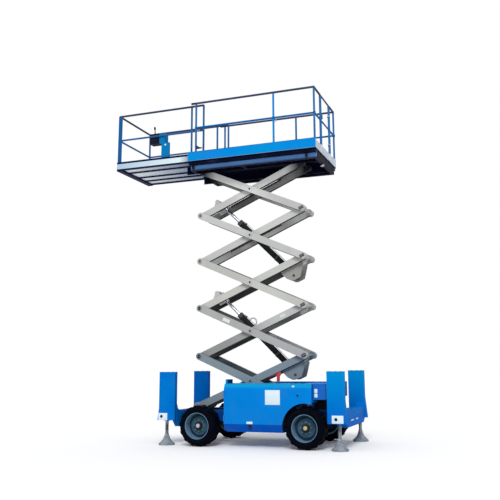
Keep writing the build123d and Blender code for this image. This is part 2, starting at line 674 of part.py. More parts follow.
def lugged_tyre():
    """Tyre about Z with two staggered rows of slanted lugs."""
    half = TYRE_WIDTH / 2
    profile = [(r, half - inset) for r, inset in SHOULDER]
    seat = half - BEAD_SLOPE
    bore = (RIM_RADIUS + SEAT_GAP) / math.cos(math.pi / TYRE_FACETS)
    carcass = faceted([(bore, -seat), *[(r, -z) for r, z in profile], *profile[::-1], (bore, seat)])
    # One lug along X, its top set so that its corners reach the tyre's radius
    root, shoulder = TYRE_RADIUS - 2 * LUG_HEIGHT, half - SHOULDER[2][1]
    end = half - SHOULDER[1][1] / 2
    middle = (LUG_MIDDLE_GAP + end) / 2
    slant = math.radians(LUG_SKEW)
    spread = LUG_WIDTH / 2 * math.cos(slant) + (middle - LUG_MIDDLE_GAP) * math.sin(slant)
    top = math.sqrt(TYRE_RADIUS ** 2 - spread ** 2)
    inner_end = (root, LUG_MIDDLE_GAP), (top, LUG_MIDDLE_GAP)
    outer_end = (top, shoulder), (root + 6, end), (root - 14, end - 12)
    lug = plate_y(inner_end + outer_end, (-LUG_WIDTH / 2, LUG_WIDTH / 2))
    lug = Pos(0, 0, middle) * Rot(-LUG_SKEW, 0, 0) * Pos(0, 0, -middle) * lug
    pitch = 360 / LUGS_PER_ROW
    for row, drawn in ((-0.25, lug), (0.25, mirror(lug, about=Plane.XY))):
        carcass += [Rot(0, 0, (number + row) * pitch) * drawn for number in range(LUGS_PER_ROW)]
    return carcass


# Platform

def underframe():
    """Side members, the tracks for the upper rollers and the pivot lugs, all under the deck."""
    top = DECK_TOP - DECK_THICK
    bottom = top - UNDERFRAME_DEPTH
    side_y = (UNDERFRAME_HALF - UNDERFRAME_WIDTH, UNDERFRAME_HALF)
    ends = (DECK_FRONT + 20, DECK_REAR - 10)
    frame = both_sides(block(ends, side_y, (bottom, top)))
    frame += block((ends[1] - 50, ends[1]), (-side_y[1], side_y[1]), (bottom, top))
    edge_y = (UNDERFRAME_HALF - 1, DECK_HALF_WIDTH - EDGE_INSET)
    frame += both_sides(block(ends, edge_y, (top - EDGE_FRAME, top)))
    track_top = TOP_PIN_Z + ROLLER_RADIUS + ROLLER_GAP
    web_y = (ROLLER_Y[1] + 5, ROLLER_Y[1] + 5 + TRACK_WALL)
    track = block((TRACK_FRONT, TRACK_REAR), (ROLLER_Y[0], web_y[1]), (track_top, top))
    track += block((TRACK_FRONT, ends[1]), web_y, (bottom, top))
    for x in (ends[0], TRACK_REAR):
        track += block((x, x + 50), (web_y[0], side_y[1] - 1), (bottom, top))
    lug_y = (ROLLER_Y[0], ROLLER_Y[0] + PIVOT_LUG_THICK)
    radius = PIVOT_LUG_RADIUS
    lug = block((PIVOT_X - radius, PIVOT_X + radius), lug_y, (TOP_PIN_Z, top))
    lug += rod_y(radius, lug_y, PIVOT_X, TOP_PIN_Z)
    lug += block((PIVOT_X - radius, PIVOT_X + radius), (lug_y[0], web_y[0] + 1), (top - TRACK_WALL, top))
    pin = rod_y(PIN_RADIUS, (-lug_y[1] - 6, lug_y[1] + 6), PIVOT_X, TOP_PIN_Z)
    return frame + both_sides(track + lug) + pin


def deck():
    x, y = (DECK_FRONT, DECK_REAR), (-DECK_HALF_WIDTH, DECK_HALF_WIDTH)
    return block(x, y, (DECK_TOP - DECK_THICK, DECK_TOP))


def toe_boards():
    y = (DECK_HALF_WIDTH - TOE_THICK, DECK_HALF_WIDTH)
    boards = both_sides(block((DECK_FRONT, DECK_REAR), y, (DECK_TOP, TOE_TOP)))
    return boards


def main_rails():
    y = DECK_HALF_WIDTH - TOE_THICK - POST_RADIUS - 1
    front, rear = MAIN_POSTS[0], DECK_REAR - POST_RADIUS
    rails = rod_x(TUBE_RADIUS, (front, rear), y, TOP_RAIL_Z)
    rails += rod_x(TUBE_RADIUS * 0.9, (front, rear), y, MID_RAIL_Z)
    for x in (*MAIN_POSTS, rear):
        rails += rod_z(POST_RADIUS, x, y, (DECK_TOP, TOP_RAIL_Z))
    rails += Pos(rear, y, TOP_RAIL_Z) * Sphere(CORNER_BALL)
    rails = both_sides(rails)
    # The end frames on each side of the entry gate
    for near, far in ((-y, GATE_NEAR_Y - 30), (GATE_FAR_Y + 30, y)):
        rails += rod_y(TUBE_RADIUS, (near, far), rear, TOP_RAIL_Z)
        rails += rod_y(TUBE_RADIUS * 0.9, (near, far), rear, MID_RAIL_Z)
        post = far if near < 0 else near
        rails += rod_z(POST_RADIUS, rear, post, (DECK_TOP, TOP_RAIL_Z))
        rails += block((rear - 3, rear + 3), (near, far), (DECK_TOP, TOE_TOP))
    # Rings that hold the gate's hinge post
    pivot = GATE_FAR_Y - GATE_TUBE_RADIUS
    for z in GATE_LUG_HEIGHTS:
        span = (z, z + GATE_LUG_THICK)
        rails += rod_z(GATE_LUG_RADIUS, rear, pivot, span)
        rails += block((rear - 12, rear + 12), (pivot, GATE_FAR_Y + 30), span)
        rails -= rod_z(GATE_TUBE_RADIUS + RUNNING_GAP, rear, pivot, (z - 5, z + GATE_LUG_THICK + 5))
    return rails


def gate():
    x = DECK_REAR - POST_RADIUS
    low = DECK_TOP + 30
    tube = GATE_TUBE_RADIUS
    near, far = GATE_NEAR_Y + tube, GATE_FAR_Y - tube
    frame = rod_y(tube, (near, far), x, TOP_RAIL_Z) + rod_y(tube, (near, far), x, MID_RAIL_Z)
    for y in (near, far):
        frame += rod_z(tube, x, y, (low, TOP_RAIL_Z))
    return frame + block((x - 3, x + 3), (near, far), (low, TOE_TOP))


# Slide-out deck

EXTENSION_REAR = DECK_FRONT + EXTENSION_OVERLAP
EXTENSION_HALF = UNDERFRAME_HALF + EXTENSION_SIDE
EXTENSION_BOTTOM = DECK_TOP + EXTENSION_GAP
EXTENSION_DECK_TOP = EXTENSION_BOTTOM + EXTENSION_RUNNER + EXTENSION_DECK_THICK


def extension_deck():
    z = (EXTENSION_BOTTOM + EXTENSION_RUNNER, EXTENSION_DECK_TOP)
    x = (EXTENSION_FRONT, EXTENSION_REAR)
    floor = block(x, (-EXTENSION_HALF, EXTENSION_HALF), z)
    edge = UNDERFRAME_HALF - RUNNER_HALF_WIDTH
    for y in (-edge, *MIDDLE_RUNNERS, edge):
        floor += block(x, (y - RUNNER_HALF_WIDTH, y + RUNNER_HALF_WIDTH), (EXTENSION_BOTTOM, z[0] + 1))
    nose_z = (EXTENSION_BOTTOM - NOSE_DROP, z[0] + 1)
    floor += block((x[0], x[0] + EXTENSION_NOSE), (-EXTENSION_HALF, EXTENSION_HALF), nose_z)
    side = (EXTENSION_HALF - 6, EXTENSION_HALF)
    floor += both_sides(block(x, side, (EXTENSION_BOTTOM, TOE_TOP)))
    floor += block((x[0], x[0] + 6), (-EXTENSION_HALF, EXTENSION_HALF), (EXTENSION_BOTTOM, TOE_TOP))
    return floor


def extension_rails():
    y = EXTENSION_HALF - 6 - POST_RADIUS
    front = EXTENSION_FRONT + POST_RADIUS + 7
    rear = EXTENSION_REAR - EXTENSION_POST_INSET
    rails = None
    for z, radius in ((EXTENSION_TOP_RAIL_Z, TUBE_RADIUS), (EXTENSION_MID_RAIL_Z, TUBE_RADIUS * 0.9)):
        side = both_sides(rod_x(radius, (front, rear), y, z)) + rod_y(radius, (-y, y), front, z)
        rails = side if rails is None else rails + side
    for x in (front, DECK_FRONT + 20, rear):
        rails += both_sides(rod_z(POST_RADIUS, x, y, (EXTENSION_DECK_TOP, EXTENSION_TOP_RAIL_Z)))
    # Broad folded corner post on the near side
    corner_x = (EXTENSION_FRONT + 7, EXTENSION_FRONT + 7 + CORNER_POST_LENGTH)
    corner_z = (EXTENSION_DECK_TOP, EXTENSION_TOP_RAIL_Z)
    rails += block(corner_x, (-y - POST_RADIUS, -y - POST_RADIUS + CORNER_POST_THICK), corner_z)
    rails += block((corner_x[0], corner_x[0] + CORNER_POST_THICK), (-y - POST_RADIUS, -y), corner_z)
    return rails + both_sides(Pos(front, y, EXTENSION_TOP_RAIL_Z) * Sphere(CORNER_BALL))


def control_box():
    inside = -(EXTENSION_HALF - 6 - POST_RADIUS - TUBE_RADIUS * 0.9 - SEAT_GAP)
    box_x = EXTENSION_FRONT + CONTROL_SETBACK
    box_z = (EXTENSION_MID_RAIL_Z - CONTROL_BELOW, EXTENSION_MID_RAIL_Z + CONTROL_ABOVE)
    box = block((box_x, box_x + CONTROL_LENGTH), (inside, inside + CONTROL_WIDTH), box_z)
    panel_x = box_x + CONTROL_LENGTH - PANEL_OVERLAP
    panel_z = (box_z[0] + 1 - PANEL_HEIGHT, box_z[0] + 1)
    return box + block((panel_x, panel_x + PANEL_LENGTH), (inside, inside + PANEL_WIDTH), panel_z)


NODES = {
    "chassis_frame": chassis_frame(),
    "front_jack_beam": jack_beam(
        COLUMN_FRONT_X, FRONT_COLUMN_WIDTH, LEG_FRONT_X, FRONT_JACK_Y, FRONT_FLARE, FRONT_FLARE_TOP,
        FRONT_BEAM_X, FRONT_BEAM_Z, FRONT_HAUNCH, RAIL_FRONT,
    ),
    "rear_jack_beam": jack_beam(
        COLUMN_REAR_X, REAR_COLUMN_WIDTH, LEG_REAR_X, REAR_JACK_Y, REAR_FLARE, REAR_FLARE_TOP,
        REAR_BEAM_X, REAR_BEAM_Z, REAR_HAUNCH, RAIL_REAR,
    ),
    "near_module": side_module(-1),
    "far_module": side_module(1),
    "near_door": side_door(-1),
    "far_door": side_door(1),
    "engine_block": engine(),
    "oil_and_fuel_tanks": tanks(),
    "rear_box": rear_box(),
    "front_axle": front_axle(),
    "rear_axle": rear_axle(),
    "tie_rod": tie_rod(),
    "platform_underframe": underframe(),
    "platform_deck": deck(),
    "toe_boards": toe_boards(),
    "main_guard_rails": main_rails(),
    "entry_gate": gate(),
    "extension_deck": extension_deck(),
    "extension_guard_rails": extension_rails(),
    "platform_controls": control_box(),
}

LUGGED_TYRE = lugged_tyre()
for side, side_name in ((-1, "near"), (1, "far")):
    NODES[f"{side_name}_knuckle"] = knuckle(side)
    for end_name, x, leg_x, jack_y in (
        ("front", FRONT_AXLE_X, LEG_FRONT_X, FRONT_JACK_Y), ("rear", REAR_AXLE_X, LEG_REAR_X, REAR_JACK_Y),
    ):
        NODES[f"{end_name}_{side_name}_tyre"] = wheel_side(x, side) * LUGGED_TYRE
        NODES[f"{end_name}_{side_name}_rim"] = rim(x, side)
        NODES[f"{end_name}_{side_name}_jack_leg"] = jack_leg(leg_x, jack_y, side)

for stage in range(1, STAGES + 1):
    NODES[f"inner_arms_{stage}"] = inner_arms(stage)
    NODES[f"outer_arms_{stage}"] = outer_arms(stage)

for stage, level in ((1, "lower"), (3, "upper")):
    NODES[f"{level}_cylinder_barrel"] = barrel(stage)
    NODES[f"{level}_cylinder_rod"] = rod(stage)

os.makedirs("parts", exist_ok=True)
for name, shape in NODES.items():
    export_step(Pos(-ORIGIN_X, 0, 0) * shape, f"parts/{name}.step")
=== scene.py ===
import json
import math

import bmesh
import bpy
from mathutils import Matrix, Vector


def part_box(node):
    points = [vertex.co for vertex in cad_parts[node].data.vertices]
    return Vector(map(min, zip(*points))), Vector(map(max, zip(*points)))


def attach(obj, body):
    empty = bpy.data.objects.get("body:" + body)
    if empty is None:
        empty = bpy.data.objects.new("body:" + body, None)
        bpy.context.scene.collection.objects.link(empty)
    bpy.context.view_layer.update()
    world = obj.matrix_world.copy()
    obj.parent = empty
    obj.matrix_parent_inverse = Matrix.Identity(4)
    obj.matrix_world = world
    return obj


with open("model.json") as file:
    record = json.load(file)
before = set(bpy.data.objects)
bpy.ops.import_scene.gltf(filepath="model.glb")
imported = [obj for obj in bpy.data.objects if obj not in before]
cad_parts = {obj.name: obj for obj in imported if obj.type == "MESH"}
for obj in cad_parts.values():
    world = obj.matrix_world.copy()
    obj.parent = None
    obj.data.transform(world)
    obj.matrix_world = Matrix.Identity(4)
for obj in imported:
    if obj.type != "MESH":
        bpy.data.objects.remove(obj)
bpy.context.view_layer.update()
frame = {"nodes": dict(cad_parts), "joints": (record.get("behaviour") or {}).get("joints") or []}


# Camera. It stands off the near rear corner at chest height and looks up along the stack.
# Its place is given from the ground point midway between the axles.

def centre(node):
    """The middle of a CAD node's box."""
    low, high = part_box(node)
    return (low + high) / 2


def stand(name, data):
    """A new object in the scene, at the origin."""
    made = bpy.data.objects.new(name, data)
    bpy.context.scene.collection.objects.link(made)
    return made


AXLE_MIDDLE = Vector(((centre("front_near_tyre").x + centre("rear_near_tyre").x) / 2, 0.0, 0.0))
STANDPOINT = AXLE_MIDDLE + Vector((4.207, -11.773, 1.322))
YAW, PITCH, ROLL = math.radians(19.8), math.radians(11.3), math.radians(-0.437)
camera_data = bpy.data.cameras.new("camera")
camera_data.sensor_width, camera_data.lens, camera_data.clip_end = 36.0, 50.6, 400.0
camera_data.shift_x, camera_data.shift_y = -0.027, -0.0525
camera = stand("camera", camera_data)
gaze = Vector((-math.sin(YAW) * math.cos(PITCH), math.cos(YAW) * math.cos(PITCH), math.sin(PITCH)))
look = gaze.to_track_quat("-Z", "Y").to_matrix().to_4x4()
camera.matrix_world = Matrix.Translation(STANDPOINT) @ look @ Matrix.Rotation(ROLL, 4, "Z")
bpy.context.scene.camera = camera
bpy.context.scene.view_settings.view_transform = "Standard"


# Floor and light. A plain pale floor under a soft sky, with one wide lamp off the front near
# side. The floor throws back less light than it shows, so the undersides stay dark.

class Wire:
    """A socket of a node tree. Arithmetic on it adds Math nodes."""

    def __init__(self, tree, socket=None):
        self.tree = tree
        self.socket = socket

    def add(self, kind, inputs=(), outlet=0, **settings):
        """Adds a node: its settings first, then the values or links of its sockets."""
        node = self.tree.nodes.new(kind)
        for name, value in settings.items():
            setattr(node, name, value)
        for name, value in dict(inputs).items():
            if isinstance(value, Wire):
                self.tree.links.new(value.socket, node.inputs[name])
            else:
                node.inputs[name].default_value = value
        return Wire(self.tree, node.outputs[outlet] if node.outputs else None)

    def math(self, operation, first, second=0.0):
        return self.add("ShaderNodeMath", {0: first, 1: second}, operation=operation)

    def vector(self, operation, first, second=(0.0, 0.0, 0.0), outlet="Vector"):
        return self.add("ShaderNodeVectorMath", {0: first, 1: second}, outlet, operation=operation)

    __abs__ = lambda self: self.math("ABSOLUTE", self)
    __add__ = lambda self, other: self.math("ADD", self, other)
    __sub__ = lambda self, other: self.math("SUBTRACT", self, other)
    __rsub__ = lambda self, other: self.math("SUBTRACT", other, self)
    __mul__ = lambda self, other: self.math("MULTIPLY", self, other)
    __or__ = lambda self, other: self.math("MAXIMUM", self, other)
    __gt__ = lambda self, other: self.math("GREATER_THAN", self, other)
    __lt__ = lambda self, other: self.math("LESS_THAN", self, other)


def new_tree(owner):
    """An empty node tree of a material or world, as a wire to start from."""
    owner.use_nodes = True
    owner.node_tree.nodes.clear()
    return Wire(owner.node_tree)


def fill(owner, kind, output, thrown, shown):
    """Gives a material or world one shader for diffuse light, another for camera, mirror and glass."""
    start = new_tree(owner)
    camera_ray, mirror_ray, glass_ray = (start.add("ShaderNodeLightPath", outlet=f"Is {kind} Ray")
                                         for kind in ("Camera", "Glossy", "Transmission"))
    lighting, looks = (start.add(kind, inputs) for inputs in (thrown, shown))
    seen = camera_ray | mirror_ray | glass_ray
    start.add(output, {"Surface": start.add("ShaderNodeMixShader", {0: seen, 1: lighting, 2: looks})})


FLOOR_HALF, FLOOR_SHOWN, FLOOR_THROWN, SKY_LIGHT = 60.0, 1.0, 0.75, 0.7
floor_mesh = bpy.data.meshes.new("floor")
corners = [(x * FLOOR_HALF, y * FLOOR_HALF, 0.0) for x, y in ((-1, -1), (1, -1), (1, 1), (-1, 1))]
floor_mesh.from_pydata(corners, [], [(0, 1, 2, 3)])
floor = stand("floor", floor_mesh)
floor_finish = bpy.data.materials.new("pale_floor")
thrown, shown = ({"Color": (grey, grey, grey, 1.0)} for grey in (FLOOR_THROWN, FLOOR_SHOWN))
fill(floor_finish, "ShaderNodeBsdfDiffuse", "ShaderNodeOutputMaterial", thrown, shown)
floor_mesh.materials.append(floor_finish)

sky = bpy.data.worlds.new("soft_sky")
bpy.context.scene.world = sky
soft = {"Color": (0.98, 0.99, 1.0, 1.0), "Strength": SKY_LIGHT}
white = {"Color": (1.0, 1.0, 1.0, 1.0), "Strength": 1.0}
fill(sky, "ShaderNodeBackground", "ShaderNodeOutputWorld", soft, white)

lamp_data = bpy.data.lights.new("wide_lamp", "SUN")
lamp_data.energy = 1.7
lamp_data.angle = math.radians(22)
lamp = stand("wide_lamp", lamp_data)
lamp.rotation_euler = Vector((-0.2, 0.74, -0.64)).to_track_quat("-Z", "Y").to_euler()


# Frame, jack beams and columns. Welded steel box sections, sprayed in the machine's blue, which is
# darkened to indigo on the frame and darker on the far front column as painted shade. A thin cap is
# welded on each column, a collar guides each ram, and blank white plates and rows of bolts are fixed
# to the outer faces.

def noise(place, scale, detail=3.0):
    """Grey noise about 0.5, with a grain of 1 / scale metres."""
    return place.add("ShaderNodeTexNoise", {"Vector": place, "Scale": scale, "Detail": detail})


def spread(wire, low, high, to_low=0.0, to_high=1.0):
    """Moves one range of values to another, held at both ends."""
    limits = {"From Min": low, "From Max": high, "To Min": to_low, "To Max": to_high}
    return wire.add("ShaderNodeMapRange", {"Value": wire, **limits})


def mix(share, first, second):
    """The first colour where share is 0, the second where it is 1."""
    first, second = (c if isinstance(c, Wire) else (*c, 1.0) for c in (first, second))
    return share.add("ShaderNodeMix", {0: share, 6: first, 7: second}, 2, data_type="RGBA")


def two_tones(colour, shade, scale=1.3, detail=3.0, low=0.35, high=0.65):
    """A drift between two tones of one colour."""
    return lambda place: mix(spread(noise(place, scale, detail), low, high), colour, shade)


def axes(place):
    """A point's places along X, Y and Z."""
    outlets = place.add("ShaderNodeSeparateXYZ", {"Vector": place}).socket.node.outputs
    return [Wire(place.tree, outlet) for outlet in outlets]


def edges(place, radius):
    """1 along the sharp edges of a piece, 0 on its faces."""
    rounded = place.add("ShaderNodeBevel", {"Radius": radius}, samples=4)
    true = place.add("ShaderNodeNewGeometry", outlet="Normal")
    return spread(place.vector("DOT_PRODUCT", rounded, true, "Value"), 0.995, 0.85)


def coat(place, colour, rough, grain, depth, **more):
    """A shader's inputs: its colour and roughness, and a fine relief of a given grain and depth."""
    relief = place.add("ShaderNodeBump", {"Height": noise(place, *grain), "Distance": depth})
    return {"Base Color": colour, "Roughness": rough, "Normal": relief, **more}


PLAIN_FILM = 0.02


def finish(name, recipe):
    """A material from a recipe: the point on the object in, the shader's inputs out."""
    made = bpy.data.materials.new(name)
    start = new_tree(made)
    place = start.add("ShaderNodeTexCoord", outlet="Object")
    inputs = {"Specular IOR Level": PLAIN_FILM, **recipe(place)}
    shader = start.add("ShaderNodeBsdfPrincipled", inputs)
    start.add("ShaderNodeOutputMaterial", {"Surface": shader})
    return made


def dress(material, *names):
    """Gives CAD nodes their finish."""
    for name in names:
        slots = frame["nodes"][name].data.materials
        slots.clear()
        slots.append(material)


DUST = (0.085, 0.115, 0.15)


def paint(tone, worn, gloss=0.36, dust_top=0.75, wear=0.7, film=PLAIN_FILM):
    """Sprayed machine paint: its tone from a place, dust low down, and worn edges."""
    def recipe(place):
        dust = spread(axes(place)[2], dust_top, 0.0) * spread(noise(place, 9.0, 6.0), 0.4, 0.75) * 0.22
        rubbed = edges(place, 0.006) * spread(noise(place, 38.0, 5.0), 0.48, 0.6) * wear
        streaks = spread(noise(place, 3.1, 6.0), 0.55, 0.8) * 0.12
        colours = mix(rubbed, mix(dust, mix(streaks, tone(place), DUST), DUST), worn)
        rough = spread(noise(place, 14.0, 5.0), 0.3, 0.7, gloss - 0.05, gloss + 0.1) + dust * 0.5
        return coat(place, colours, rough, (420.0, 2.0), 0.00012, **{"Specular IOR Level": film})
    return recipe


def painted(name, slot, colour, shade, worn, scale=1.3, **how):
    """A painted finish in two tones of one colour."""
    return finish(name, paint(two_tones(colour, shade, scale), worn, **how))


def bar(x, y, z):
    """A box from its three ranges, as corners and faces."""
    corners = [(a, b, c) for c in sorted(z) for b in sorted(y) for a in sorted(x)]
    return corners, [(0, 2, 3, 1), (4, 5, 7, 6), (0, 1, 5, 4), (2, 6, 7, 3), (0, 4, 6, 2), (1, 3, 7, 5)]


def turned(profile, foot, axis, count=24, ring=False):
    """A turned form from (distance along its axis, radius) points. A ring is open in the middle."""
    axis, foot = Vector(axis).normalized(), Vector(foot)
    side = axis.orthogonal().normalized()
    third = axis.cross(side)
    corners, faces = [], []
    for reach, radius in profile:
        for k in range(count):
            turn = 2 * math.pi * k / count
            corners.append(foot + axis * reach + (side * math.cos(turn) + third * math.sin(turn)) * radius)
    rows = len(profile)
    for row in range(rows if ring else rows - 1):
        low, high = row * count, (row + 1) % rows * count
        faces += [(low + k, low + (k + 1) % count, high + (k + 1) % count, high + k) for k in range(count)]
    if not ring:
        faces += [tuple(range(count)), tuple(range((rows - 1) * count, rows * count))]
    return corners, faces


def collar(foot, axis, length, bore, wide, far_wide=None, count=24):
    """A collar from its length, its bore and its outer radius at the foot and the far end."""
    profile = ((0.0, bore), (0.0, wide), (length, far_wide or wide), (length, bore))
    return turned(profile, foot, axis, count, ring=True)


SHARP = 0.6  # radians between two faces, past which their edge stays crisp


def show(name, body, material, mesh):
    """A finished mesh as a piece that moves with a body."""
    data = bpy.data.meshes.new(name)
    mesh.to_mesh(data)
    mesh.free()
    data.materials.append(material)
    for face in data.polygons:
        face.use_smooth = True
        face.material_index = 0
    data.set_sharp_from_angle(angle=SHARP)
    made = stand(name, data)
    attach(made, body)


def piece(name, body, material, *shapes, bevel=0.0):
    """Joins shapes into one mesh, softens its sharp edges and lets it move with a body."""
    mesh = bmesh.new()
    for corners, faces in shapes:
        points = [mesh.verts.new(corner) for corner in corners]
        for face in faces:
            mesh.faces.new([points[n] for n in face])
    bmesh.ops.recalc_face_normals(mesh, faces=mesh.faces)
    if bevel:
        sharp = [edge for edge in mesh.edges if edge.calc_face_angle(0.0) > SHARP]
        bmesh.ops.bevel(mesh, geom=sharp, offset=bevel, segments=2, profile=0.5, affect="EDGES",
                        clamp_overlap=True)
    show(name, body, material, mesh)


KINDS = {int: "NodeSocketInt", float: "NodeSocketFloat", tuple: "NodeSocketVector"}


def grown(name, body, material, recipe, *rows, path=()):
    """A mesh from a node group, grown once for each row of its named inputs."""
    group = bpy.data.node_groups.new(name, "GeometryNodeTree")
    group.interface.new_socket("Path", in_out="INPUT", socket_type="NodeSocketGeometry")
    group.interface.new_socket("Mesh", in_out="OUTPUT", socket_type="NodeSocketGeometry")
    keys = {}
    for size, value in rows[0].items():
        keys[size] = group.interface.new_socket(size, in_out="INPUT", socket_type=KINDS[type(value)]).identifier
    start = Wire(group)
    inlet = group.nodes.new("NodeGroupInput")
    inputs = {size: Wire(group, inlet.outputs[size]) for size in keys}
    if path:
        inputs["path"] = Wire(group, inlet.outputs["Path"])
    real = start.add("GeometryNodeRealizeInstances", {0: recipe(start, **inputs)})
    coated = start.add("GeometryNodeSetMaterial", {0: real, "Material": material})
    start.add("NodeGroupOutput", {0: coated})
    whole = bmesh.new()
    for row in rows:
        seed = bpy.data.meshes.new(name)
        seed.from_pydata(path, [(k, k + 1) for k in range(len(path) - 1)], [])
        host = stand(name, seed)
        modifier = host.modifiers.new(name, "NODES")
        modifier.node_group = group
        for size, value in row.items():
            modifier[keys[size]] = value
        result = bpy.data.meshes.new_from_object(host.evaluated_get(bpy.context.evaluated_depsgraph_get()))
        host.modifiers.remove(modifier)
        whole.from_mesh(result)
        bpy.data.objects.remove(host)
        bpy.data.meshes.remove(seed)
        bpy.data.meshes.remove(result)
    show(name, body, material, whole)


def in_line(start, one, count, begin, end, turn=(0.0, 0.0, 0.0)):
    """Copies of one mesh at even steps along a line."""
    ends = {"Count": count, "Start Location": begin, "Offset": end}
    line = start.add("GeometryNodeMeshLine", ends, mode="END_POINTS")
    return start.add("GeometryNodeInstanceOnPoints", {"Points": line, "Instance": one, "Rotation": turn})


def bolt_row(start, head, depth, **line):
    """Six-sided bolt heads at even steps along a line."""
    one = start.add("GeometryNodeMeshCylinder", {"Vertices": 6, "Radius": head, "Depth": depth})
    return in_line(start, one, **line)


QUARTER = math.pi / 2
FACING = {"x": (0.0, QUARTER, 0.0), "y": (QUARTER, 0.0, 0.0), "z": (0.0, 0.0, 0.0)}


def bolts(count, x, y, z, face="y", head=0.011, depth=0.012):
    """One row of bolts between two points along X, its heads standing out of an X, Y or Z face."""
    first_z, last_z = z if isinstance(z, tuple) else (z, z)
    return {"count": count, "begin": (x[0], y, first_z), "end": (x[1], y, last_z), "head": head, "depth": depth,
            "turn": FACING[face]}


def vinyl(place):
    colour = mix(spread(noise(place, 11.0, 5.0), 0.5, 0.8) * 0.25, (0.66, 0.78, 0.86), (0.5, 0.56, 0.6))
    return coat(place, colour, spread(noise(place, 40.0), 0.3, 0.7, 0.35, 0.5), (300.0, 2.0), 0.00008)


def bare_steel(tone, dark, smooth=0.28, dull=0.48, least=0.6, most=0.9, grain=(260.0, 3.0), depth=0.0001):
    """Bare, plated or chromed steel with a film of grease, which is duller and less metallic."""
    def recipe(place):
        film = spread(noise(place, 30.0, 5.0), 0.4, 0.7)
        return coat(place, mix(film, tone, dark), spread(film, 0.0, 1.0, smooth, dull), grain, depth,
                    Metallic=spread(film, 0.0, 1.0, most, least))
    return recipe


MID = AXLE_MIDDLE.x
BOTH = (-1, 1)
SIDES = (("near", -1), ("far", 1))
UP = (0, 0, 1)
BLUE, BLUE_SHADE, BLUE_WORN = (0.0005, 0.218, 0.69), (0.0005, 0.19, 0.61), (0.1, 0.22, 0.36)


def beam_tone(place):
    """The machine's blue: brighter towards the top of the rear columns, and darker on the far front column as
    painted shade.
    """
    x, y, z = axes(place)
    front = x < MID
    front_blue = two_tones((0.0005, 0.165, 0.56), (0.0005, 0.142, 0.53), 2.6)(place)
    rear_blue = mix(spread(z, 0.45, 1.15), (0.0005, 0.135, 0.56), (0.0005, 0.24, 0.6))
    return mix(spread(y, 0.2, 0.6) * front, mix(front, rear_blue, front_blue), (0.0005, 0.1, 0.4))


beam_paint = paint(beam_tone, BLUE_WORN, dust_top=0.3, wear=0.4, film=0.004)
machine_blue = finish("machine_blue", beam_paint)
# The frame's indigo is the machine's blue darkened as painted shade, for the shade on the frame between the
# wheels, doors and columns
shaded_frame_blue = painted("shaded_frame_blue", "machine_blue", (0.004, 0.05, 0.26), (0.003, 0.035, 0.19), BLUE_WORN,
                     wear=0.3)
blank_white = finish("blank_white_plate", vinyl)
zinc = finish("zinc_plated_steel", bare_steel((0.55, 0.56, 0.58), (0.3, 0.3, 0.31)))
seal_black = painted("seal_black", "frame_black", (0.012, 0.013, 0.016), (0.02, 0.02, 0.022), (0.1, 0.1, 0.1),
                     gloss=0.5)
dress(machine_blue, "front_jack_beam", "rear_jack_beam")
dress(shaded_frame_blue, "chassis_frame")

CAP_OVER, CAP_THICK, COLUMN_DEEP, COLLAR_Z, SKIN = 0.004, 0.006, 0.09, 0.402, 0.002
FRONT_INSET, REAR_INSET = 0.026, 0.038
# Each end: which way it faces, its columns' inset and width, and a column's blank plate and its stud
COLUMNS = (("front", -1, FRONT_INSET, 0.297, (-1.7, -1.53), (0.402, 0.52), (-1.64, 0.465)),
           ("rear", 1, REAR_INSET, 0.278, (1.355, 1.54), (0.41, 0.53), (1.42, 0.47)))
for end, out, inset, width, label_x, label_z, (stud_x, stud_z) in COLUMNS:
    low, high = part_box(f"{end}_jack_beam")
    outer_x = (high.x if out > 0 else low.x) - out * inset
    inner_x = outer_x - out * width
    cap_top = high.z + CAP_THICK
    caps, labels, studs, rows = [], [], [], []
    for side_name, side in SIDES:
        leg = centre(f"{end}_{side_name}_jack_leg")
        face = side * high.y
        cap_y = (face + side * CAP_OVER, face - side * (COLUMN_DEEP + CAP_OVER))
        caps.append(bar((inner_x - out * CAP_OVER, outer_x + out * CAP_OVER), cap_y, (high.z, cap_top)))
        caps.append(collar((leg.x, leg.y, COLLAR_Z), UP, -0.008, 0.0285, 0.05))
        labels.append(bar([MID + x for x in label_x], (face, face + side * SKIN), label_z))
        stud = ((0.0, 0.025), (0.004, 0.025), (0.006, 0.02))
        studs.append(turned(stud, (MID + stud_x, face, stud_z), (0, side, 0)))
        for z in (0.64, 0.7):
            rows.append(bolts(2, (inner_x + out * 0.04, inner_x + out * 0.1), face, z))
        cap_bolts_x = (inner_x + out * 0.05, outer_x - out * 0.05)
        rows.append(bolts(3, cap_bolts_x, face - side * 0.02, cap_top, "z", 0.009, 0.01))
    piece(f"{end}_column_caps", "chassis", machine_blue, *caps, bevel=0.002)
    piece(f"{end}_column_plates", "chassis", blank_white, *labels, bevel=0.0006)
    piece(f"{end}_column_studs", "chassis", seal_black, *studs)
    grown(f"{end}_column_bolts", "chassis", machine_blue, bolt_row, *rows)

rear_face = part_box("rear_jack_beam")[1].x - REAR_INSET
marks = [bar((rear_face, rear_face + SKIN), y, (0.422, 0.44)) for y in ((-0.36, -0.17), (0.0, 0.15))]
piece("rear_beam_marks", "chassis", blank_white, *marks)


# Jack legs. Turned steel rams, dark with oil, each on a pale cast foot. A cross bolt holds the
# foot to its ram.

FOOT_BOLT_Z = 0.168


def ram_and_foot(place):
    high_up = spread(axes(place)[2], 0.176, 0.186)
    cast = two_tones((0.27, 0.305, 0.355), (0.16, 0.18, 0.21), 24.0, 6.0, 0.4, 0.7)(place)
    oily = two_tones((0.26, 0.28, 0.33), (0.06, 0.066, 0.082), 12.0, 4.0, 0.4, 0.7)(place)
    rough = spread(high_up, 0.0, 1.0, 0.62, 0.3)
    return coat(place, mix(high_up, cast, oily), rough, (150.0, 4.0), 0.0004, Metallic=high_up * 0.75)


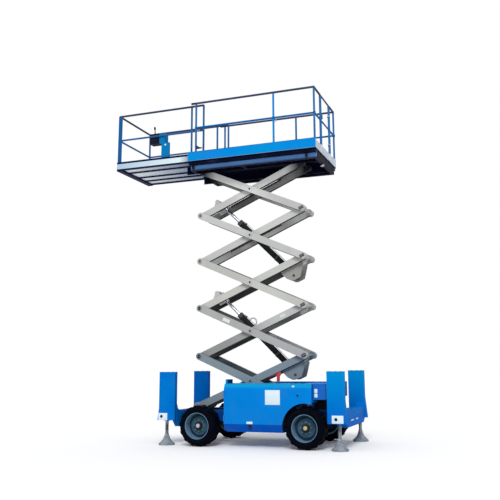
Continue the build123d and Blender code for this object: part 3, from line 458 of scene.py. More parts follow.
jack_steel = finish("jack_steel", ram_and_foot)
bolt_half = ((0.045, 0.009), (0.045, 0.014), (0.034, 0.014), (0.034, 0.008))
cross_bolt = [(-reach, radius) for reach, radius in bolt_half] + list(reversed(bolt_half))
for end in ("front", "rear"):
    for side_name, side in SIDES:
        leg = f"{end}_{side_name}_jack_leg"
        dress(jack_steel, leg)
        middle = centre(leg)
        piece(f"{leg}_bolt", leg, zinc, turned(cross_bolt, (middle.x, middle.y, FOOT_BOLT_Z), (0, 1, 0), 12))


# Axles, knuckles and tie rod. Black painted steel with a film of grease and road dust. Round
# caps close the kingpins, and rubber boots the tie rod's joints.

KINGPIN_Y, KINGPIN_TOP, ROD_BACK, ROD_TOP = 0.48, 0.415, 0.15, 0.28
axle_black = painted("axle_black", "frame_black", (0.014, 0.015, 0.018), (0.022, 0.022, 0.024),
                     (0.09, 0.09, 0.09), gloss=0.45)
dress(axle_black, "front_axle", "rear_axle", "near_knuckle", "far_knuckle", "tie_rod")
front_x = centre("front_near_tyre").x
cap = ((0.0, 0.034), (0.006, 0.034), (0.01, 0.026), (0.012, 0.01))
boot = ((0.0, 0.012), (0.004, 0.024), (0.012, 0.022), (0.018, 0.026), (0.028, 0.018), (0.034, 0.014))
kingpin_caps = [turned(cap, (front_x, side * KINGPIN_Y, KINGPIN_TOP), UP) for side in BOTH]
ball_boots = [turned(boot, (front_x + ROD_BACK, side * KINGPIN_Y, ROD_TOP), UP) for side in BOTH]
piece("kingpin_caps", "chassis", zinc, *kingpin_caps)
piece("tie_rod_boots", "tie_rod", seal_black, *ball_boots)


# Wheels. Lugged black tyres on pale pressed-steel rims, each held by a ring of eight nuts. A
# flanged hub turns with the wheel, and the spindle ends in a plated cap.

def from_axle(place, x, z):
    """Distance from the axis of a wheel or pin, which runs across the machine."""
    flat = place.vector("MULTIPLY", place.vector("SUBTRACT", place, (x, 0.0, z)), (1.0, 0.0, 1.0))
    return place.vector("LENGTH", flat, outlet="Value")


def rubber(x, z):
    """Moulded rubber: rings and a scuff band on the side wall, dust between the lugs."""
    def recipe(place):
        out = from_axle(place, x, z)
        dusty = spread(noise(place, 22.0, 6.0), 0.42, 0.72) * 0.3
        rings = place.math("SINE", out * 420.0) * spread(out, 0.3, 0.285) * 0.6
        relief = {"Height": rings + noise(place, 240.0, 4.0), "Distance": 0.0008}
        return {"Base Color": mix(dusty, (0.0014, 0.0018, 0.005), (0.007, 0.008, 0.014)),
                "Roughness": spread(noise(place, 60.0), 0.3, 0.7, 0.62, 0.85),
                "Normal": place.add("ShaderNodeBump", relief)}
    return recipe


def rim_coat(x, z):
    """Pale rim edge, darker dish, and painted shade darkening the groove where the dish meets the rim."""
    def recipe(place):
        out = from_axle(place, x, z)
        dish = two_tones((0.04, 0.105, 0.16), (0.026, 0.072, 0.112), 8.0)(place)
        edge = spread(out, 0.186, 0.2)
        # Painted shade in the groove between dish and rim
        groove = spread(out, 0.14, 0.15) * spread(out, 0.166, 0.156)
        grime = spread(noise(place, 16.0, 6.0), 0.45, 0.75) * 0.35
        tone = mix(groove * 0.9, mix(edge, dish, (0.13, 0.25, 0.37)), (0.01, 0.012, 0.016))
        rough = spread(noise(place, 30.0), 0.3, 0.7, 0.38, 0.55)
        return coat(place, mix(grime, tone, (0.035, 0.04, 0.045)), rough, (120.0, 3.0), 0.0003)
    return recipe


def nut_ring(start, count, ring, nut, depth, middle, turn):
    """Nuts at even steps around a circle."""
    circle = start.add("GeometryNodeMeshCircle", {"Vertices": count, "Radius": ring})
    one = start.add("GeometryNodeMeshCylinder", {"Vertices": 6, "Radius": nut, "Depth": depth})
    placed = start.add("GeometryNodeInstanceOnPoints", {"Points": circle, "Instance": one})
    return start.add("GeometryNodeTransform", {"Geometry": placed, "Translation": middle, "Rotation": turn})


WHEEL_Y, NUTS_OUT, VALVE_UP = 0.71, 0.04, 0.192
flange = ((0.04, 0.0415), (0.04, 0.062), (0.066, 0.062), (0.078, 0.052), (0.078, 0.0415))
valve = ((0.12, 0.005), (0.152, 0.005))
spindle_cap = ((0.09, 0.036), (0.096, 0.036), (0.104, 0.028), (0.107, 0.012))
nut_steel = finish("nut_steel", bare_steel((0.16, 0.19, 0.22), (0.06, 0.07, 0.08)))
yellow_zinc = finish("yellow_zinc", bare_steel((0.62, 0.5, 0.28), (0.4, 0.33, 0.2), 0.26, 0.46))
for end in ("front", "rear"):
    middle = centre(f"{end}_near_tyre")
    tyre_rubber = finish(f"{end}_tyre_rubber", rubber(middle.x, middle.z))
    rim_paint = finish(f"{end}_rim_paint", rim_coat(middle.x, middle.z))
    for side_name, side in SIDES:
        wheel = f"{end}_{side_name}_wheel"
        outward = (0, side, 0)
        dress(tyre_rubber, f"{end}_{side_name}_tyre")
        dress(rim_paint, f"{end}_{side_name}_rim")
        hub = Vector((middle.x, side * WHEEL_Y, middle.z))
        grown(f"{wheel}_nuts", wheel, nut_steel, nut_ring, {
            "count": 8, "ring": 0.092, "nut": 0.013, "depth": 0.022,
            "middle": (hub.x, hub.y + side * NUTS_OUT, hub.z), "turn": FACING["y"],
        })
        piece(f"{wheel}_hub", wheel, axle_black, turned(flange, hub, outward, ring=True),
              turned(valve, (hub.x, hub.y, hub.z + VALVE_UP), outward, 8))
        carrier, plating = (f"{side_name}_knuckle", zinc) if end == "front" else ("chassis", yellow_zinc)
        piece(f"{wheel}_spindle_cap", carrier, plating, turned(spindle_cap, hub, outward))


# Side modules and doors. Folded sheet in the same blue, on two hinges at the front. Round the wheel
# arch the module is painted near-black, for a black lining and for the shade in the arch, and each
# door has a paddle latch, blank white plates and a tie-down ring.

DOOR_FACE, CHAMFER_Z, LOW_BAND_Z, ARCH_Z, ARCH_RADIUS, UPSTAND_Z = 0.816, 0.952, 0.372, 0.33, 0.402, 1.013


def plate(outline, span, axis="y"):
    """A flat plate from its outline, between two planes along X or Y."""
    count = len(outline)
    corners = [(v, a, b) if axis == "x" else (a, v, b) for v in span for a, b in outline]
    sides = [(k, (k + 1) % count, (k + 1) % count + count, k + count) for k in range(count)]
    return corners, [tuple(range(count)), tuple(range(count, 2 * count)), *sides]


def torus(foot, axis, radius, thick, count=32, round_count=10):
    turns = [2 * math.pi * k / round_count for k in range(round_count)]
    profile = [(thick * math.sin(turn), radius + thick * math.cos(turn)) for turn in turns]
    return turned(profile, foot, axis, count, ring=True)


def module_tone(place):
    x, _, z = axes(place)
    # Near-black round the rear wheel arch, for a black lining and for painted shade in the arch, and near-black
    # on the upstand above the cover
    arch = from_axle(place, centre("rear_near_tyre").x, ARCH_Z) < ARCH_RADIUS
    upstand = (z > UPSTAND_Z) * (x > MID - 0.42)
    return mix(arch | upstand, two_tones(BLUE, BLUE_SHADE)(place), (0.004, 0.016, 0.07))


def door_tone(place):
    """Blue, brighter on the chamfer as a painted highlight and deeper along the low edge as painted shade."""
    z = axes(place)[2]
    sheet = mix(z > CHAMFER_Z, two_tones(BLUE, BLUE_SHADE)(place), (0.004, 0.275, 0.56))
    return mix((z < LOW_BAND_Z) * 0.75, sheet, (0.001, 0.04, 0.38))


module_paint = finish("module_paint", paint(module_tone, BLUE_WORN))
door_paint = finish("door_paint", paint(door_tone, BLUE_WORN))
dress(module_paint, "near_module", "far_module")
dress(door_paint, "near_door", "far_door")

# The clasp sits on the chamfer that leans in above the door
CLASP = ((0.8028256, 0.9522899), (0.8100922, 0.960239), (0.7979191, 0.9854548), (0.7871744, 0.9847101))
LATCH_X, CLASP_X, RING_X, HINGE_X = MID + 0.78, MID + 0.712, MID + 0.004, MID - 0.428
for side_name, side in SIDES:
    door = f"{side_name}_door"
    face = side * DOOR_FACE
    skin = (face, face + side * SKIN)
    white = [bar((MID + 0.265, MID + 0.517), skin, (0.682, 0.912)),
             bar((MID - 0.056, MID + 0.047), skin, (0.378, 0.414))]
    piece(f"{door}_plates", door, blank_white, *white, bevel=0.0006)
    latch_frame = bar((LATCH_X, LATCH_X + 0.068), (face, face + side * 0.003), (0.8, 0.862))
    piece(f"{door}_latch_frame", door, door_paint, latch_frame, bevel=0.001)
    lever = [(face + side * d, z) for d, z in ((0.003, 0.816), (0.011, 0.819), (0.016, 0.84), (0.003, 0.843))]
    paddle = plate(lever, (LATCH_X + 0.02, LATCH_X + 0.048), "x")
    piece(f"{door}_latch", door, seal_black, paddle, bevel=0.0012)
    clasp = plate([(side * y, z) for y, z in CLASP], (CLASP_X, CLASP_X + 0.04), "x")
    piece(f"{door}_clasp", door, zinc, clasp, bevel=0.0012)
    ring = torus((RING_X, side * 0.811, 0.312), (0, side * 0.95, -0.31), 0.02, 0.0055)
    tab = [(side * 0.8145, 0.366), (side * 0.801, 0.325), (side * 0.806, 0.324), (side * 0.8185, 0.365)]
    piece(f"{door}_tie_down", door, seal_black, ring, plate(tab, (RING_X - 0.028, RING_X + 0.028), "x"))
    screw_lines = [z + reach for z in (0.46, 0.85) for reach in (-0.03, 0.03)]
    rows = [bolts(2, (HINGE_X, HINGE_X + 0.034), face, z, head=0.006, depth=0.007) for z in screw_lines]
    grown(f"{door}_hinge_screws", door, door_paint, bolt_row, *rows)


# Rear box. Folded sheet in a deeper blue over the rear wheels, with blank plates on its side, a
# bolted lid seam, and a nose on each step up to the entry. A thin black bulkhead hangs inside
# each rear wheel; its black also stands in for the shade inside the wheel.

BOX_FACE, BULKHEAD_Y, SEAM_Z, STEP_HALF = 0.75, 0.449, 0.99, 0.26
deep_blue = painted("deep_blue", "deep_blue", (0.012, 0.135, 0.52), (0.008, 0.105, 0.43), BLUE_WORN)
dress(deep_blue, "rear_box")
dress(axle_black, "engine_block", "oil_and_fuel_tanks")
box_low, box_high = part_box("rear_box")
box_plates, box_rows, bulkheads = [], [], []
for side in BOTH:
    face = side * BOX_FACE
    for z in ((0.8, 0.858), (0.868, 0.93)):
        box_plates.append(bar((MID + 1.072, MID + 1.122), (face, face + side * SKIN), z))
    box_rows.append(bolts(5, (box_low.x + 0.03, box_high.x - 0.03), face, SEAM_Z, head=0.007, depth=0.008))
    # Each bulkhead is a black sheet that also stands in for the shade inside the rear wheel
    bulkheads.append(bar((1.56, 1.85), (side * BULKHEAD_Y, side * (BULKHEAD_Y + 0.006)), (0.6, 0.8)))
steps = [bar((box_high.x, box_high.x + 0.012), (-STEP_HALF, STEP_HALF), (z, z + 0.03)) for z in (0.8, 0.9)]
piece("rear_bulkheads", "chassis", seal_black, *bulkheads)
piece("rear_box_plates", "chassis", blank_white, *box_plates, bevel=0.0006)
piece("entry_step_noses", "chassis", seal_black, *steps, bevel=0.003)
grown("rear_box_screws", "chassis", deep_blue, bolt_row, *box_rows)


# Scissor arms. Long box sections welded with round boss rings at their ends and middles, in
# light grey satin paint, made lighter or darker by stage and along each arm as painted light and
# shade, with painted shade on their undersides and inner faces and painted shadow at the top stage's
# upper ends. Retaining plates hold the end pins. Hoses are clipped along the inner faces on the far
# side, with a fitting at each end.

joints = {joint["name"]: Vector(joint["pos_m"]) for joint in frame["joints"] if "pos_m" in joint}
FIRST_HALF = joints["stage_1_end"] - joints["stage_1_centre"]
ARM_HALF, SLOPE = FIRST_HALF.length, math.atan2(FIRST_HALF.z, FIRST_HALF.x)
PIN_SIDE, ARM_FACE, INNER_BACK, OUTER_BACK = 0.308, 0.3, 0.16, 0.235
LUG_STAGE, TOP_STAGE = 3, 5
# By stage: the paint's tone, lighter or darker by stage as painted light and shade, then for the inner
# and the outer arms its share at the left and the right end, as painted light and shade, and its share
# in the painted shade on their inner faces, left and right of the centre pin
STAGES = {
    1: ((0.22, 0.275, 0.31), (1.0, 1.0, 0.1, 0.1), (1.0, 1.1, 0.3, 0.8)),
    2: ((0.44, 0.45, 0.445), (0.65, 1.15, 0.07, 0.27), (0.92, 0.92, 0.3, 0.7)),
    3: ((0.53, 0.535, 0.505), (1.0, 1.05, 0.05, 0.08), (0.95, 1.0, 0.4, 0.8)),
    4: ((0.54, 0.545, 0.53), (1.0, 1.1, 0.6, 0.7), (1.05, 0.98, 0.5, 0.6)),
    5: ((0.77, 0.775, 0.76), (0.68, 1.2, 0.22, 0.5), (1.02, 0.66, 0.5, 0.6)),
}
TIP_SHADE, LUG_SHADE, PALEST = 0.65, 0.5, 0.92


def on_arm(stage, rising, reach, above, y=0.0):
    """A point given along and square to an arm, from its centre pin."""
    turn = SLOPE if rising else -SLOPE
    pin = joints[f"stage_{stage}_centre"]
    return Vector((pin.x + reach * math.cos(turn) - above * math.sin(turn), y,
                   pin.z + reach * math.sin(turn) + above * math.cos(turn)))


def arm_tone(stage, rising):
    """Satin grey, lighter or darker along it as painted light and shade, with a stain drifting along it, grease
    marks at the end pins, painted shade on its underside, its inner face and the lug stage's lug, and painted
    shadow at the top stage's upper ends.
    """
    turn = SLOPE if rising else -SLOPE
    base, *light_and_shade_shares = STAGES[stage]
    shares, back = (light_and_shade_shares[0], INNER_BACK) if rising else (light_and_shade_shares[1], OUTER_BACK)
    middle = joints[f"stage_{stage}_centre"]
    first, last = (on_arm(stage, rising, reach, 0.0) for reach in (-ARM_HALF, ARM_HALF))
    left, right, inner_shade_left, inner_shade_right, inner_shade_tip, lug = (
        [min(c * share, PALEST) for c in base] for share in (*shares, TIP_SHADE, LUG_SHADE))

    def tone(place):
        x, y, z = axes(place)
        out = x - middle.x
        above = (z - middle.z) * math.cos(turn) - out * math.sin(turn)
        # The grey changes from end to end as painted light and shade
        clean = mix(spread(out, -0.45, 0.45), left, right)
        # Painted shade on the lug below the arm at the lug stage
        if stage == LUG_STAGE:
            clean = mix((above < -0.064) * 0.85, clean, lug)
        clean = mix(spread(noise(place, 1.7, 4.0), 0.35, 0.65, 0.0, 0.12), clean, (0.05, 0.05, 0.05))
        at_first, at_last = (spread(from_axle(place, end.x, end.z), 0.058, 0.036) for end in (first, last))
        marks = (at_first | at_last) * spread(noise(place, 26.0, 6.0), 0.35, 0.65) * 0.35
        # Near-black on the underside as painted shade, over the grease marks at the pin ends
        below = (above < -0.0592) * (above > -0.062)
        greased_and_shaded = mix(below, mix(marks, clean, (0.085, 0.09, 0.1)), (0.016, 0.017, 0.03))
        # Painted shade on the inner face, left and right of the centre pin and at the tip
        film = mix(spread(out, 0.76, 0.8), mix(spread(out, -0.1, 0.1), inner_shade_left, inner_shade_right), inner_shade_tip)
        whole = mix(abs(abs(y) - back) < 0.0006, greased_and_shaded, film)
        # Painted shadow of the deck at the top stage's upper ends
        if stage == TOP_STAGE:
            upward = out * (1.0 if rising else -1.0)
            whole = mix(spread(upward, 0.66, 0.9, 0.0, 0.97), whole, (0.006, 0.008, 0.014))
        return whole
    return tone


def slab(stage, rising, reach, above, y):
    """A bar along an arm, from its ranges along, above and across."""
    outline = [on_arm(stage, rising, reach[a], above[b]) for a, b in ((0, 0), (1, 0), (1, 1), (0, 1))]
    return plate([(v.x, v.z) for v in outline], y)


def clipped_hose(start, path, thick, clips, grip):
    """A hose along a path, with clips at even steps."""
    curve = start.add("GeometryNodeMeshToCurve", {0: path})
    line = start.add("GeometryNodeCurveSplineType", {"Curve": curve}, spline_type="CATMULL_ROM")
    ring = start.add("GeometryNodeCurvePrimitiveCircle", {"Resolution": 8, "Radius": thick})
    hose = start.add("GeometryNodeCurveToMesh", {"Curve": line, "Profile Curve": ring, "Fill Caps": True})
    even = start.add("GeometryNodeResampleCurve", {"Curve": line, "Count": clips})
    clip = start.add("GeometryNodeMeshCube", {"Size": grip})
    tangent = start.add("GeometryNodeInputTangent")
    turn = start.add("FunctionNodeAlignRotationToVector", {"Vector": tangent}, axis="X")
    held = start.add("GeometryNodeInstanceOnPoints", {"Points": even, "Instance": clip, "Rotation": turn})
    joined = start.add("GeometryNodeJoinGeometry", {0: hose})
    start.tree.links.new(held.socket, joined.socket.node.inputs[0])
    return joined


hose_black = painted("hose_black", "frame_black", (0.014, 0.014, 0.016), (0.026, 0.026, 0.028),
                     (0.06, 0.06, 0.06), 20.0, gloss=0.5)
cap_steel = painted("cap_steel", "dark_steel", (0.045, 0.05, 0.06), (0.07, 0.074, 0.082),
                    (0.22, 0.22, 0.22), 8.0, gloss=0.4)
worn_white = painted("worn_white_plate", "pale_grey", (0.74, 0.74, 0.7), (0.62, 0.62, 0.58),
                     (0.4, 0.4, 0.38), 12.0, gloss=0.45)
boss = ((0.0, 0.0395), (0.0, 0.054), (0.003, 0.052), (0.004, 0.0395))
pin_head = ((0.0, 0.019), (0.003, 0.019), (0.004, 0.013), (0.01, 0.013), (0.012, 0.008))
KEEPER_THICK, HOSE_Y, HOSE_ENDS = 0.006, 0.1535, (-0.59, 0.515)
for stage in range(1, 6):
    inner, outer = f"inner_arms_{stage}", f"outer_arms_{stage}"
    for arms, rising in ((inner, True), (outer, False)):
        satin = paint(arm_tone(stage, rising), (0.2, 0.195, 0.19), 0.42, 0.3, 0.1)
        grey = finish(f"{arms}_grey", satin)
        dress(grey, arms)
    cap_wide = 0.031 if stage < 3 else 0.024
    end_cap = ((0.0, cap_wide), (0.004, cap_wide), (0.006, cap_wide - 0.006), (0.006, 0.01), (0.003, 0.008))
    rings, caps, pads, heads, cap_rows, keeper_rows = [], [], [], [], [], []
    for side in BOTH:
        outward, pin_y = (0, side, 0), side * PIN_SIDE
        rings += [turned(boss, on_arm(stage, False, reach, 0.0, side * ARM_FACE), outward, 32, True)
                  for reach in (-ARM_HALF, 0.0, ARM_HALF)]
        pads.append(slab(stage, False, (-0.165, -0.105), (-0.066, -0.059), (side * 0.242, side * 0.293)))
        heads.append(turned(pin_head, on_arm(stage, True, 0.0, 0.0, pin_y), outward))
        if stage < TOP_STAGE:
            spot = on_arm(stage, False, -ARM_HALF, 0.0, pin_y)
            caps.append(turned(end_cap, spot, outward))
            cap_rows.append(bolts(2, (spot.x - 0.018, spot.x + 0.018), spot.y, spot.z, head=0.006, depth=0.02))
            heads.append(slab(stage, True, (ARM_HALF - 0.05, ARM_HALF + 0.036), (-0.024, 0.024),
                              (pin_y, side * (PIN_SIDE + KEEPER_THICK))))
            first, last = (on_arm(stage, True, ARM_HALF + reach, 0.0, side * (PIN_SIDE + 0.008))
                           for reach in (-0.038, 0.024))
            keeper_rows.append(bolts(3, (first.x, last.x), first.y, (first.z, last.z), head=0.007, depth=0.01))
    piece(f"{outer}_boss_rings", outer, grey, *rings)
    piece(f"{outer}_rub_pads", outer, seal_black, *pads)
    if stage < TOP_STAGE:
        piece(f"{outer}_pin_caps", outer, seal_black if stage < 3 else cap_steel, *caps)
        grown(f"{outer}_cap_bolts", outer, zinc, bolt_row, *cap_rows)
        grown(f"{inner}_keeper_bolts", inner, zinc, bolt_row, *keeper_rows)
    piece(f"{inner}_pin_keepers", inner, cap_steel, *heads, bevel=0.001)
    # Two hoses on the far arm's inner face, near its top edge
    for number, above in enumerate((0.044, 0.03)):
        path = [on_arm(stage, True, reach, above, HOSE_Y) for reach in (HOSE_ENDS[0], -0.2, 0.2, HOSE_ENDS[1])]
        grown(f"{inner}_hose_{number + 1}", inner, hose_black, clipped_hose,
              {"thick": 0.005, "clips": 5, "grip": (0.024, 0.0125, 0.013)}, path=path)
    fittings = [slab(stage, True, reach, (0.022, 0.052), (0.146, 0.16))
                for reach in ((-0.606, -0.586), (0.511, 0.531))]
    piece(f"{inner}_hose_fittings", inner, zinc, *fittings, bevel=0.002)

outer_plate = slab(2, False, (-0.555, -0.415), (-0.03, 0.03), (-ARM_FACE, -ARM_FACE - SKIN))
piece("outer_arm_plate", "outer_arms_2", worn_white, outer_plate)
inner_plate = slab(2, True, (0.58, 0.68), (-0.0225, 0.0225), (-0.225, -0.225 - SKIN))
piece("inner_arm_plate", "inner_arms_2", worn_white, inner_plate)

# The lug plates at each cylinder's foot carry the foot pin on a bolted keeper
FOOT_ALONG, FOOT_BELOW, LUG_SIDE = 0.735, -0.215, 0.148
keeper = ((0.0, 0.023), (0.004, 0.023), (0.006, 0.016), (0.009, 0.014))
for stage in (1, LUG_STAGE):
    keepers = [turned(keeper, on_arm(stage, True, FOOT_ALONG, FOOT_BELOW, side * LUG_SIDE), (0, side, 0))
               for side in BOTH]
    piece(f"inner_arms_{stage}_foot_keepers", f"inner_arms_{stage}", cap_steel, *keepers)


# Safety prop. A red folded-steel strut hangs under the lowest inner arm on the near side, on a
# pivot bolt, and props the stack open for service.

prop_red = painted("prop_red", "dark_steel", (0.62, 0.075, 0.08), (0.5, 0.055, 0.065), (0.25, 0.12, 0.12),
                   gloss=0.4)
PROP_SPAN, WALL = (-0.213, -0.172), 0.005
top = on_arm(1, True, 0.49, -0.052, 0.0)
web = [(top.x + x, top.z + z) for x, z in (
    (-0.055, -0.014), (0.05, 0.018), (0.05, -0.034), (0.022, -0.078), (0.022, -0.15), (0.0, -0.17),
    (-0.024, -0.15), (-0.02, -0.078), (-0.055, -0.05))]
walls = [plate(web, (-y, -y - WALL)) for y in (0.172, 0.208)]
back = bar((top.x - 0.02, top.x - 0.012), PROP_SPAN, (top.z - 0.14, top.z - 0.02))
rest = slab(1, True, (0.29, 0.45), (-0.074, -0.061), PROP_SPAN)
piece("safety_prop", "inner_arms_1", prop_red, *walls, back, rest, bevel=0.001)


# Lift cylinders. Black-painted barrels with a screwed gland, a port block at each end and a
# steel pipe clamped along the top. The rods are hard chrome.

FOOT_IN = 0.056


def barrel_run(level):
    """A barrel's foot pin, the way it points, and the way up square to it."""
    low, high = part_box(f"{level}_cylinder_barrel")
    foot = Vector((high.x - FOOT_IN, 0.0, low.z + FOOT_IN))
    unit = (joints[f"{level}_cylinder_swing"] - foot).normalized()
    square = Vector((unit.z, 0.0, -unit.x))
    return foot, unit, -square if square.z < 0 else square


chrome = bare_steel((0.46, 0.46, 0.52), (0.34, 0.34, 0.4), 0.2, 0.32, least=1.0, most=1.0,
                    grain=(500.0, 2.0), depth=0.00004)
rod_chrome = finish("rod_chrome", chrome)
pipe_pale = painted("pale_pipe", "pale_grey", (0.6, 0.63, 0.64), (0.48, 0.52, 0.54), (0.4, 0.4, 0.4), 9.0,
                    gloss=0.3)
gland = ((1.43, 0.0575), (1.43, 0.062), (1.496, 0.062), (1.5, 0.058))
port_block = ((-0.012, 0.02), (0.014, 0.02), (0.018, 0.014))
PORTS_AT, BANDS_AT, BARREL_RADIUS = (0.11, 1.38), (0.48, 1.02), 0.0525
for level in ("lower", "upper"):
    barrel = f"{level}_cylinder_barrel"
    dress(axle_black, barrel)
    dress(rod_chrome, f"{level}_cylinder_rod")
    foot, unit, square = barrel_run(level)
    ports = [foot + unit * reach + square * 0.058 for reach in PORTS_AT]
    blocks = [turned(port_block, spot, square, 6) for spot in ports]
    bands = [collar(foot + unit * reach, unit, 0.03, BARREL_RADIUS, 0.0565) for reach in BANDS_AT]
    piece(f"{barrel}_fittings", barrel, cap_steel, turned(gland, foot, unit, 8, True), *blocks, *bands)
    pipe = [ports[0] + square * 0.002, ports[0] + square * 0.01 + unit * 0.06,
            ports[1] + square * 0.01 - unit * 0.06, ports[1] + square * 0.002]
    grown(f"{barrel}_pipe", barrel, pipe_pale, clipped_hose,
          {"thick": 0.007, "clips": 6, "grip": (0.02, 0.022, 0.018)}, path=pipe)

# A formed pipe loops round on top of the lower barrel, held by a saddle clamp
LOOP_RADIUS, LOOP_PIPE = 0.068, 0.013
foot, unit, square = barrel_run("lower")
reach = (joints["stage_2_centre"] + Vector((0.056, 0.0, 0.199)) - foot).dot(unit)
eye = foot + unit * (reach - 0.012) + square * 0.16 + Vector((-0.141, 0.085, 0.0))
loop = torus(eye, (0, 1, 0), LOOP_RADIUS, LOOP_PIPE, 40)
saddle = turned(((-0.042, 0.018), (0.004, 0.018), (0.01, 0.01)), eye - square * LOOP_RADIUS, (0, 1, 0), 12)
piece("lower_cylinder_pipe_loop", "lower_cylinder_barrel", pipe_pale, loop, saddle)


# Platform underframe. Black welded channels with cross ribs. The upright webs of the two side
# members are blue, brightened as painted light, between black end brackets. A small work lamp
# hangs under the rear end.

deck_low, deck_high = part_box("platform_deck")
WEB_Y, RIB_Y, RIB_SIZE = (0.597, 0.6008), 0.463, (0.008, 0.172, 0.11)


def under_tone(place):
    _, y, z = axes(place)
    member = (abs(y) > WEB_Y[0]) * (abs(y) < WEB_Y[1]) * spread(deck_low.z - z, 0.14, 0.095)
    # The webs' blue is brighter than the paint, as painted light on the shaded webs
    lit = two_tones((0.145, 0.34, 0.72), (0.115, 0.28, 0.64))(place)
    black = two_tones((0.002, 0.003, 0.014), (0.004, 0.005, 0.02), 5.0)(place)
    return mix(member, black, lit)


def ribs(start, size, **line):
    return in_line(start, start.add("GeometryNodeMeshCube", {"Size": size}), **line)


under_paint = finish("underframe_paint", paint(under_tone, (0.05, 0.06, 0.09), 0.45, wear=0.3))
dress(under_paint, "platform_underframe")
rib_z = deck_low.z - 0.062
rows = [{"count": 7, "size": RIB_SIZE, "begin": (deck_low.x + 0.3, side * RIB_Y, rib_z),
         "end": (deck_high.x - 0.2, side * RIB_Y, rib_z)} for side in BOTH]
grown("underframe_ribs", "platform", seal_black, ribs, *rows)
brackets = [bar((x - 0.016, x + 0.016), (-0.64, -0.6), (deck_low.z - 0.12, deck_low.z - 0.05))
            for x in (deck_low.x + 0.075, deck_high.x - 0.19)]
piece("underframe_brackets", "platform", seal_black, *brackets)
lamp_body = ((0.0, 0.02), (-0.006, 0.034), (-0.03, 0.036), (-0.034, 0.031), (-0.034, 0.029), (-0.028, 0.026))
housing = turned(lamp_body, (deck_high.x - 0.035, -0.15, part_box("platform_underframe")[0].z), UP)
piece("corner_lamp_housing", "platform", zinc, housing)


# Deck and toe boards. Anti-slip steel sheet with raised lozenges on the deck, and folded boards
# in bright blue around it.

def worn_sheet(place):
    scuffs = spread(noise(place, 6.0, 8.0), 0.35, 0.7)
    under = axes(place)[2] < deck_high.z - 0.004
    tone = mix(under, mix(scuffs, (0.34, 0.35, 0.37), (0.22, 0.23, 0.25)), (0.001, 0.003, 0.014))
    return coat(place, tone, spread(scuffs, 0.0, 1.0, 0.38, 0.6), (90.0, 5.0), 0.0003, Metallic=0.5)


def lozenges(start, columns, lines, length, width, stud, rise, middle):
    """Raised lozenges on a grid, every other one turned across its neighbours."""
    grid = start.add("GeometryNodeMeshGrid",
                     {"Size X": length, "Size Y": width, "Vertices X": columns, "Vertices Y": lines})
    odd = start.math("MODULO", start.add("GeometryNodeInputIndex"), 2.0)
    turn = start.add("ShaderNodeCombineXYZ", {"Z": odd * QUARTER + math.pi / 4})
    one = start.add("GeometryNodeMeshCone",
                    {"Vertices": 4, "Radius Top": 0.4, "Radius Bottom": 1.0, "Depth": 1.0})
    size = start.add("ShaderNodeCombineXYZ", {"X": stud, "Y": stud * 0.36, "Z": rise})
    placed = start.add("GeometryNodeInstanceOnPoints",
                       {"Points": grid, "Instance": one, "Rotation": turn, "Scale": size})
    return start.add("GeometryNodeTransform", {"Geometry": placed, "Translation": middle})


STUD_STEP, STUD_SIZE, STUD_RISE = 0.045, 0.016, 0.0016


def stud_field(x, y, z):
    """The lozenges' inputs for a field between two X and two Y limits."""
    length, width = x[1] - x[0], y[1] - y[0]
    middle = ((x[0] + x[1]) / 2, (y[0] + y[1]) / 2, z + STUD_RISE / 2)
    lines = int(width / STUD_STEP) // 2 * 2 + 1
    return {"columns": int(length / STUD_STEP), "lines": lines, "length": length, "width": width,
            "stud": STUD_SIZE, "rise": STUD_RISE, "middle": middle}


deck_sheet = finish("deck_sheet", worn_sheet)
dress(deck_sheet, "platform_deck")
# The slide-out deck covers the front of this one, so the studs stop behind it. Its runners slide
# in the clear lanes between the fields.
slide_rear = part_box("extension_deck")[1].x
lanes = ((-0.545, -0.355), (-0.285, 0.015), (0.085, 0.285), (0.355, 0.545))
fields = [stud_field((slide_rear + 0.06, deck_high.x - 0.06), lane, deck_high.z) for lane in lanes]
grown("deck_lozenges", "platform", deck_sheet, lozenges, *fields)

board_blue = painted("board_blue", "machine_blue", (0.001, 0.265, 0.64), (0.001, 0.225, 0.68), BLUE_WORN,
                     wear=0.4)
dress(board_blue, "toe_boards")
board_low, board_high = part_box("toe_boards")
rows = [bolts(9, (board_low.x + 0.1, board_high.x - 0.1), side * (board_high.y - 0.0005), board_low.z + 0.018,
              head=0.006, depth=0.006) for side in BOTH]
grown("toe_board_rivets", "platform", board_blue, bolt_row, *rows)


# Guard rails. Round tube, welded, in posts on bolted foot plates. The top rails are darkened as
# painted shade and the near middle post is brightened as a painted highlight. Rings for harnesses
# hang on the posts, and a sleeve and a lock lever hold the slide-out deck.

rail_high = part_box("main_guard_rails")[1]
TOP_Z = rail_high.z - 0.02
MID_Z = TOP_Z - 0.47
POST_Y, TUBE = 0.675, 0.0185
FRONT_POST, MIDDLE_POST, REAR_POST = POSTS_X = (MID - 1.082, MID + 0.411, rail_high.x - 0.02)


def rail_tone(place):
    """Top rails darkened as painted shade, a mid blue below, one post brightened as a painted highlight, and a
    pale kick sheet at the gate.
    """
    x, y, z = axes(place)
    top = z > TOP_Z - 0.026
    mid = abs(z - MID_Z) < 0.022
    bright = (y < -0.6) * (abs(x - MIDDLE_POST) < 0.03)
    sheet = (z < board_high.z + 0.001) * (x > REAR_POST - 0.0305)
    posts = two_tones((0.03, 0.17, 0.42), (0.018, 0.13, 0.35))(place)
    posts = mix(sheet, mix(bright, posts, (0.002, 0.235, 0.64)), (0.56, 0.63, 0.72))
    return mix(top, mix(mid, posts, (0.003, 0.13, 0.4)), (0.055, 0.066, 0.13))


